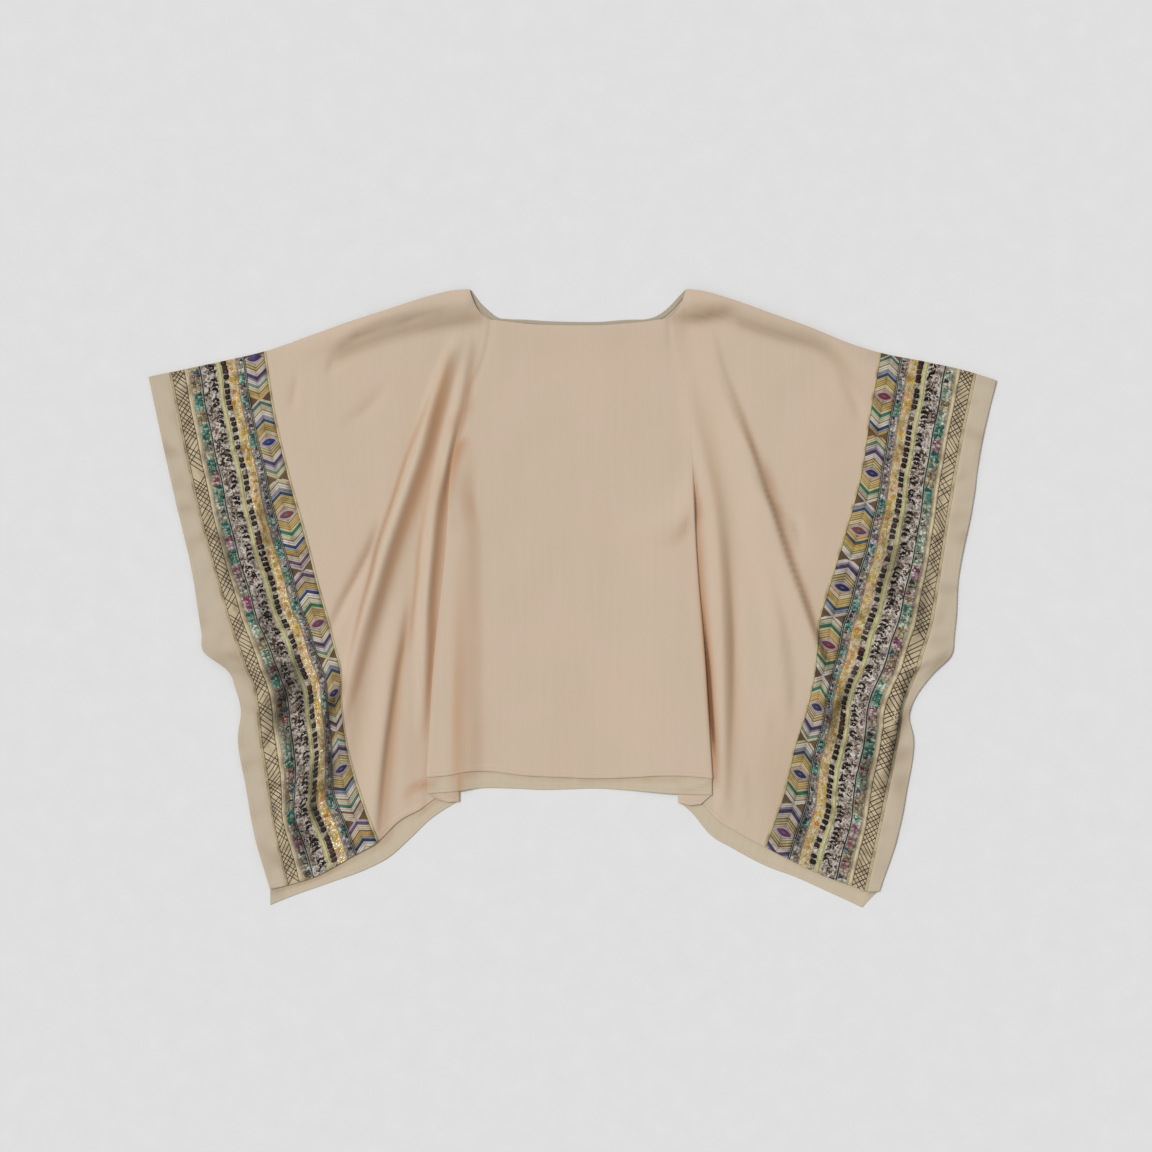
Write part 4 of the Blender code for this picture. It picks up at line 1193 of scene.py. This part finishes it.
WARM_PATCHES = (
    Patch(("8E7460", "B0A08A", "6E5C4A"), ("1E5A78", "1A4456", "7A2438")),
    Patch(("B0A094", "C9B8AA", "84706A"), ("7A3444", "7A2438", "8E4450")),
    Patch(("B4C4B0", "D6DCCC", "8FA08E"), ("3E6A5E", "5A7A6A")),
    Patch(("4F9080", "8FB8A6", "2E6A60"), ("12505A", "0F6A68", "0F3A44")),
    Patch(("A3987C", "857858", "C4B898"), ("5A3A24", "6E4A30")),
    Patch(("B894A0", "8E6878", "D6C4C4"), ("8A1E5C", "6A1A4A", "8A3A66")),
    Patch(("A8A392", "D2D4C8", "868A7A"), ("2E2830", "22222A", "4A3A44")),
)
COOL_PATCHES = (
    Patch(("9A8F8C", "C8BEBE", "7C747C"), ("2C2C3C", "1C323C")),
    Patch(("5E9C86", "46806E", "A2C2B2"), ("0E3238", "1C4A50")),
    Patch(("D6D0C4", "A89E94", "93948A"), ("1C2A34", "4A7A74")),
    Patch(("A8998C", "C4B6A6", "847A72"), ("5A3434", "3A2428")),
)
# Pale specks that are painted glints of light on gold thread.
GLINTS = ("E2DCB0", "B8A860", "D9CFA0", "C9BE7A", "EDE7C4")
PETAL_COLOURS = ("C47E3A", "CFAA52", "CFBC82", "CF9A76", "C39C3C", "D3BA70", "DACDA6", "D0935C")
PATCH_STRIPES = ((41.0, 27.0, 9.0, WARM_PATCHES), (103.2, 93.6, 7.0, COOL_PATCHES))  # foot, tip, height
SCATTERED = (  # from, to, room in square millimetres for each, colours
    (44.6, 63.6, 13, KNOT_COLOURS), (72.4, 79.0, 13, KNOT_COLOURS), (65.0, 71.4, 16, GLINTS),
    (80.0, 92.0, 24, GLINTS), (80.0, 92.0, 26, PETAL_COLOURS), (28.0, 40.0, 30, GLINTS),
    (94.2, 102.6, 24, KNOT_COLOURS),
)
HOOKS_ACROSS = (46.9, 52.0)
HOOK_BENDS = (130, 180, 240)
HOOK_THICK = 0.42  # of its ring's width
ARCH_BEND = 190
ARCH_THICK = 0.46
ARCHES_ACROSS = (58.4, 58.4, 58.4, 57.2, 52.0)
BLOCKS_ACROSS = 75.5
FLOWERS_ACROSS = 85.8
# The last layer, a lighter stitch on the almond, is a painted highlight.
EYE_LAYERS = (  # wide, long, colour (the eye's own where there is none) and height
    (26.0, 15.0, "B3A0A8", 2.0), (23.0, 11.4, "2A2230", 2.6), (21.5, 9.8, "", 3.2), (8.4, 3.0, "6A6C94", 3.9),
)
STITCH_SHADE = 0.75
CHEVRONS_END = 120
CHEVRON_ROW = 3.0  # a chevron wider than this is sewn in several rows
CHEVRON_HALF = 14.0  # how far an arm of a chevron reaches from its tip, across


def sew_chevrons(bm, shape, eye, reach, way, chevrons, draw, length):
    """The rows of one eye's chevrons on one side of it, each a pair of raised arms."""
    middle = CHEVRON_MIDDLE / MM
    ends = [chevron.start for chevron in chevrons[1:]] + [CHEVRONS_END]
    for chevron, end in zip(chevrons, ends):
        rows = max(1, round((end - chevron.start) / CHEVRON_ROW))
        pitch = (end - chevron.start) / rows
        for row in range(rows):
            out = chevron.start + pitch * (row + 0.5)
            if out < 6 or out > reach:
                continue
            tip = eye.along + way * out
            for hand in (-1, 1):
                far = CHEVRON_HALF * min(1, (out - 2) / (CHEVRON_SLOPE * CHEVRON_HALF))
                foot = tip - way * CHEVRON_SLOPE * far
                near = min(max(tip, 1), length - 1)
                cut = (near - foot) / (tip - foot) if abs(tip - foot) > 0.01 else 1
                if cut < 0.1 or not 0.8 < foot < length - 0.8:
                    continue
                wide = pitch * 0.84
                start = (middle + hand * (far * (1 - cut) - 0.3 * wide), near + way * 0.2 * wide)
                sew_line(bm, shape, chevron.colour, start, (middle + hand * far, foot), wide,
                         min(wide, 1.6) * draw.uniform(0.8, 1.1))


def add_band_stitching(name, side, eyes, places, flat, shade, material, seed):
    """Everything that stands up on a band: cords, lattice, triangles, marks, flowers and eyes."""
    draw = random.Random(seed)
    pick, vary = draw.choice, draw.uniform
    small_pad, eye_leaf, point, square, speck = (motif(shape) for shape in (pad, leaf, triangle, block, knot))
    short_cord, long_cord, arm_cord = (motif(cord, steps) for steps in (5, 170, 3))
    hooks = [motif(curl, bend, HOOK_THICK) for bend in HOOK_BENDS]
    arch = motif(curl, ARCH_BEND, ARCH_THICK)
    shapes = [small_pad, eye_leaf, point, square, speck, short_cord, long_cord, arm_cord, arch]
    bm = bmesh.new()
    bm.loops.layers.float_color.new("floss")
    bm.loops.layers.uv.new("cloth")
    length = flat[-1, 0, 1] / MM

    # Couched cords that run the whole length.
    for across, colour, wide, high in COUCHED_CORDS:
        sew_line(bm, long_cord, colour, (across, 0.4), (across, length - 0.4), wide, high)

    # Crossed threads of the lattice: both ways in most stretches, one way in some.
    along = -LATTICE_LEAN / 2
    low, high = LATTICE
    while along < length:
        ways = math.sin(along / 19) + 0.7 * math.sin(along / 8.3 + seed)
        bare = math.sin(along / 31 + seed * 2) > 0.985
        for lean, shown in ((LATTICE_LEAN, ways > -0.95), (-LATTICE_LEAN, ways < 0.95)):
            start = along - lean / 2 + vary(-0.8, 0.8)
            end = along + lean / 2 + vary(-0.8, 0.8)
            cut_start, cut_end = (
                (min(max(at, 0.5), length - 0.5) - start) / (end - start) for at in (start, end)
            )
            if shown and not bare and abs(cut_end - cut_start) > 0.15:
                ends = [
                    (low + (high - low) * cut, start + (end - start) * cut) for cut in (cut_start, cut_end)
                ]
                sew_line(bm, short_cord, pick(LATTICE_COLOURS), *ends, vary(1.0, 1.4), 1.0)
        along += LATTICE_PITCH * vary(0.8, 1.25)

    # Two stripes of patches, each with triangles that point sideways from the dark cord.
    for foot, tip, tall, kinds in PATCH_STRIPES:
        along = 1.0
        kind = None
        while along < length - 5:
            kind = pick([other for other in kinds if other is not kind])
            patch_end = min(along + vary(13, 25), length - 2)
            at = along + 2
            while at < patch_end - 1:
                grown = vary(4, 8)
                for side_way in (-1, 1):
                    sew(bm, small_pad, pick(kind.pads),
                        (foot + tip) / 2 + side_way * (foot - tip) * vary(0.12, 0.3),
                        min(at + grown / 2, length - grown / 2 - 1), vary(-50, 50),
                        (foot - tip) * vary(0.35, 0.6), grown, 0.7 + 0.6 * draw.random())
                at += grown * vary(0.4, 0.65)
            at = along + vary(0, 3)
            for _ in range(draw.randint(1, 4)):
                long = tall * vary(0.5, 1.1)
                reach = (foot - tip) * vary(0.5, 1.0)
                if at + long > patch_end:
                    break
                sew(bm, point, pick(kind.points), foot - reach * 0.4, at + long / 2,
                    180 + vary(-20, 20), reach, long * 1.15, 1.6)
                if draw.random() < 0.6:
                    sew(bm, point, pick(kind.points + kind.pads), foot - reach * 0.36,
                        at + long * vary(0.3, 0.7), 180 + vary(-30, 30), reach * 0.5,
                        long * 0.5, 2.2)
                at += long * vary(0.8, 1.5)
            along = patch_end

    # Marled strokes and knots over the grey stripes, painted glints on the pale cord and the flowers.
    for low, high, room, colours in SCATTERED:
        for _ in range(round(length * (high - low) / room)):
            sew(bm, speck, pick(colours), vary(low, high), vary(1.2, length - 1.2),
                vary(0, 90), vary(2.0, 4.4), vary(1.2, 2.4), vary(1.0, 1.7))
    along = 4.0
    while along < length - 4:
        for across in HOOKS_ACROSS:
            size = vary(4.4, 8.0)
            sew(bm, pick(hooks), pick(HOOK_COLOURS), across + vary(-1.2, 1.6),
                along + vary(-2, 2), vary(0, 360), size, size, 3.2)
        along += vary(4.5, 9)

    # Small dark arches in groups of two to five, beside the pale cord and scattered.
    along = 5.0
    while along < length - 8:
        home = pick(ARCHES_ACROSS)
        for _ in range(draw.randint(2, 5)):
            if along < length - 5:
                colour = pick(DARKS)
                across = home + vary(-0.9, 0.9)
                lean = vary(-30, 30)
                size = vary(6.6, 8.6)
                sew(bm, arch, colour, across, along, lean + 180, size, size * 0.9, 3.0)
                if draw.random() < 0.6:
                    sew(bm, small_pad, colour, across, along - 1, lean, size * 0.6, 2.6, 2.6)
            along += vary(5.6, 7.4)
        along += vary(3, 12)

    # Dark blocks in groups, some faded, some in a close brown chain, each with a paler knot.
    along = 3.0
    while along < length - 10:
        colours, count, pitch = pick((
            (DARKS, draw.randint(2, 5), 7.6), (DARKS, draw.randint(2, 4), 7.6),
            (DARKS, draw.randint(1, 3), 7.6), (FADED_DARKS, draw.randint(1, 3), 7.2),
            (BROWN_DARKS, draw.randint(3, 6), 6.2),
        ))
        for _ in range(count):
            if along < length - 5:
                across = BLOCKS_ACROSS + vary(-0.4, 0.4)
                sew(bm, square, pick(colours), across, along, vary(-10, 10),
                    vary(7.2, 8.4), vary(5.2, 6.6), 2.2)
                sew(bm, speck, pick(PALE_KNOTS), across, along, 20, vary(1.6, 2.8), vary(1.2, 2.2), 2.6)
            along += pitch * vary(0.9, 1.15)
        along += vary(1, 10)

    # Small flowers of five or six petals.
    along = 4.0
    while along < length - 6:
        colour = pick(PETAL_COLOURS)
        petals = draw.randint(5, 6)
        across = FLOWERS_ACROSS + vary(-3.6, 3.6)
        size = vary(1.8, 4.2)
        for petal in range(petals):
            turn = 360 * petal / petals + vary(-12, 12)
            lean = math.radians(turn)
            sew(bm, small_pad, colour, across + size * 0.55 * math.cos(lean),
                along + size * 0.55 * math.sin(lean), turn, size, size * 0.8, 1.3)
        sew(bm, small_pad, pick(PETAL_COLOURS), across, along, 0, 1.7, 1.7, 2.0)
        along += vary(7, 15)

    # Chevrons out from each eye, then the eye: a pale halo, a dark rim, the almond and a lighter stitch on it
    # as a painted highlight.
    middle = CHEVRON_MIDDLE / MM
    for eye, (before, after) in zip(eyes, middles(eyes, length + 12)):
        sew_chevrons(bm, arm_cord, eye, eye.along - before, -1, SETS[eye.shoulder_set][1], draw, length)
        sew_chevrons(bm, arm_cord, eye, after - eye.along, 1, SETS[eye.hem_set][1], draw, length)
        if eye.along < length - 2:
            for wide, long, colour, high in EYE_LAYERS:
                at = max(eye.along, long / 2 + 0.5)
                sew(bm, eye_leaf, colour or eye.colour, middle, at, 0, wide, long, high)

    lay_on_band(bm, side, places, flat)
    # Painted shade: the stitches darken where the shade map lies over them.
    paint = bm.loops.layers.float_color["floss"]
    deep = np.clip(shade_at(shade, np.array([vert.co for vert in bm.verts])), 0, 1.1)
    shaded = 1 - STITCH_SHADE * deep
    for vert, light in zip(bm.verts, shaded):
        if light < 0.97:
            for loop in vert.link_loops:
                loop[paint] = (*(channel * light for channel in loop[paint][:3]), 1)
    for shape in shapes + hooks:
        bpy.data.meshes.remove(shape)
    stitching = finished(name, bm, material)
    return stitching


def add_binding(material):
    """A narrow strip on the inside of the back, along its neck edge."""
    columns = [4 * count for count in BACK_COLUMNS]
    first = sum(columns[:BODY])
    edge = both_halves(back_neck_row, columns=columns)[first:-first]
    below = both_halves(back_row, BELOW_NECK, columns=columns)[first:-first]
    share = BINDING_WIDTH / np.linalg.norm(below - edge, axis=1)[:, None]
    places = np.array([edge + share * part * (below - edge) for part in (0, 0.2, 0.4, 0.6, 0.8, 1.0)])
    tones = np.zeros((*places.shape[:2], 3))
    strip = add_sheet(
        "neck_strip", places, cloth_map(places), tones, BINDING_WALL, BINDING_LIFT, material
    )
    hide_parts("neck_binding")
    return strip


STITCH_LENGTH = 2.7 * MM
STITCH_WIDTH = 0.55 * MM
STITCH_HEIGHT = 0.45 * MM
STITCH_PITCH = 4.0 * MM
STITCH_INSET = 6 * MM
INSET_ROW = -12  # a row further from the hem than the stitches


def stitch_along(bm, line):
    """Single stitches laid end to end along a line of places."""
    runs = np.linalg.norm(np.diff(line, axis=0), axis=1)
    along = np.concatenate([[0], np.cumsum(runs)])
    for at in np.arange(STITCH_PITCH / 2, along[-1], STITCH_PITCH):
        ends = [
            Vector([np.interp(at + half, along, line[:, axis]) for axis in range(3)])
            for half in (-STITCH_LENGTH / 2, STITCH_LENGTH / 2)
        ]
        run = ends[1] - ends[0]
        if run.length < STITCH_LENGTH / 4:
            continue
        side_way = Vector((0, 0, 1)).cross(run).normalized()
        up_way = run.normalized().cross(side_way)
        basis = Matrix((run.normalized(), side_way, up_way)).transposed().to_4x4()
        middle = (ends[0] + ends[1]) / 2 + up_way * CLOTH_WALL / 2
        size = Matrix.Diagonal((STITCH_LENGTH, STITCH_WIDTH, STITCH_HEIGHT, 1))
        bmesh.ops.create_icosphere(
            bm, subdivisions=1, radius=0.5, matrix=Matrix.Translation(middle) @ basis @ size
        )


def add_hem_stitches(front, back, material):
    """Rows of stitches a little inside the hems and cuff edges."""
    bm = bmesh.new()
    for places in (front, back):
        down = np.linalg.norm(places[-1] - places[INSET_ROW], axis=1)
        share = np.clip(STITCH_INSET / down, 0, 1)[:, None]
        stitch_along(bm, places[-1] * (1 - share) + places[INSET_ROW] * share)
    for edge, inner in ((0, 1), (-1, -2)):
        gap = np.linalg.norm(front[:, edge] - front[:, inner], axis=1)[:, None]
        run = (front[:, inner] - front[:, edge]) / gap
        stitch_along(bm, front[:, edge] + run * STITCH_INSET)
    stitches = finished("hem_stitches", bm, material)
    return stitches


FLOOR_HALF = 6.0  # metres


def add_floor(material):
    bm = bmesh.new()
    bmesh.ops.create_grid(bm, x_segments=1, y_segments=1, size=FLOOR_HALF)
    mesh = mesh_of("floor", bm)
    mesh.materials.append(material)
    link(bpy.data.objects.new("floor", mesh))


# The photograph's frame: its middle on the floor, its width there, and the camera's height.
FRAME_MIDDLE = (4.9 * MM, 29.4 * MM)
FRAME_WIDTH = 1.6128
CAMERA_HEIGHT = 4.0
SENSOR = 36.0


def add_camera():
    data = bpy.data.cameras.new("camera")
    data.sensor_width = SENSOR
    data.lens = SENSOR * CAMERA_HEIGHT / FRAME_WIDTH
    camera = link(bpy.data.objects.new("camera", data))
    camera.location = (*FRAME_MIDDLE, CAMERA_HEIGHT)
    bpy.context.scene.camera = camera


SUN_STRENGTH = 1.88
SUN_SPREAD = math.radians(20)
SKY_STRENGTH = 0.42


def add_light():
    """A wide soft light from the upper left, and even light from all round."""
    data = bpy.data.lights.new("softbox", "SUN")
    data.energy = SUN_STRENGTH
    data.angle = SUN_SPREAD
    light = link(bpy.data.objects.new("softbox", data))
    light.rotation_euler = (-Vector(SUN_FROM)).to_track_quat("-Z", "Y").to_euler()
    light.location = Vector(SUN_FROM) * CAMERA_HEIGHT
    world = bpy.data.worlds.new("studio")
    world.use_nodes = True
    sky = world.node_tree.nodes["Background"]
    sky.inputs["Color"].default_value = (1, 1, 1, 1)
    sky.inputs["Strength"].default_value = SKY_STRENGTH
    bpy.context.scene.world = world
    bpy.context.scene.view_settings.view_transform = "Standard"


def main():
    outside = crepe_cloth("sand crepe, right side", "CFBBA6", "C9B59E", "D3B6A2")
    inside = crepe_cloth("sand crepe, wrong side", "CCBDA5", "C3B39B", "CABBA8")
    front, front_places, shade = add_front(outside, inside)
    back, back_places = add_back(outside, inside, shade)
    floss = satin_stitch("rayon satin stitch")
    for name, node, side, eyes, seed in (
        ("left_band", "band_left", LEFT, LEFT_EYES, 11),
        ("right_band", "band_right", RIGHT, RIGHT_EYES, 23),
    ):
        cloth = band_cloth(f"jacquard {name.replace('_', ' ')}", eyes)
        band, places, flat = add_band(name, node, side, cloth, shade)
        stitching = add_band_stitching(f"{name}_stitching", side, eyes, places, flat, shade, floss, seed)
    binding = add_binding(crepe_cloth("sand bias strip", "B5AA98", "AA9E8A", "B3A894"))
    stitches = add_hem_stitches(front_places, back_places, sewing_thread("sand sewing thread", "CDBDA6"))
    add_floor(studio_floor())
    add_camera()
    add_light()


main()
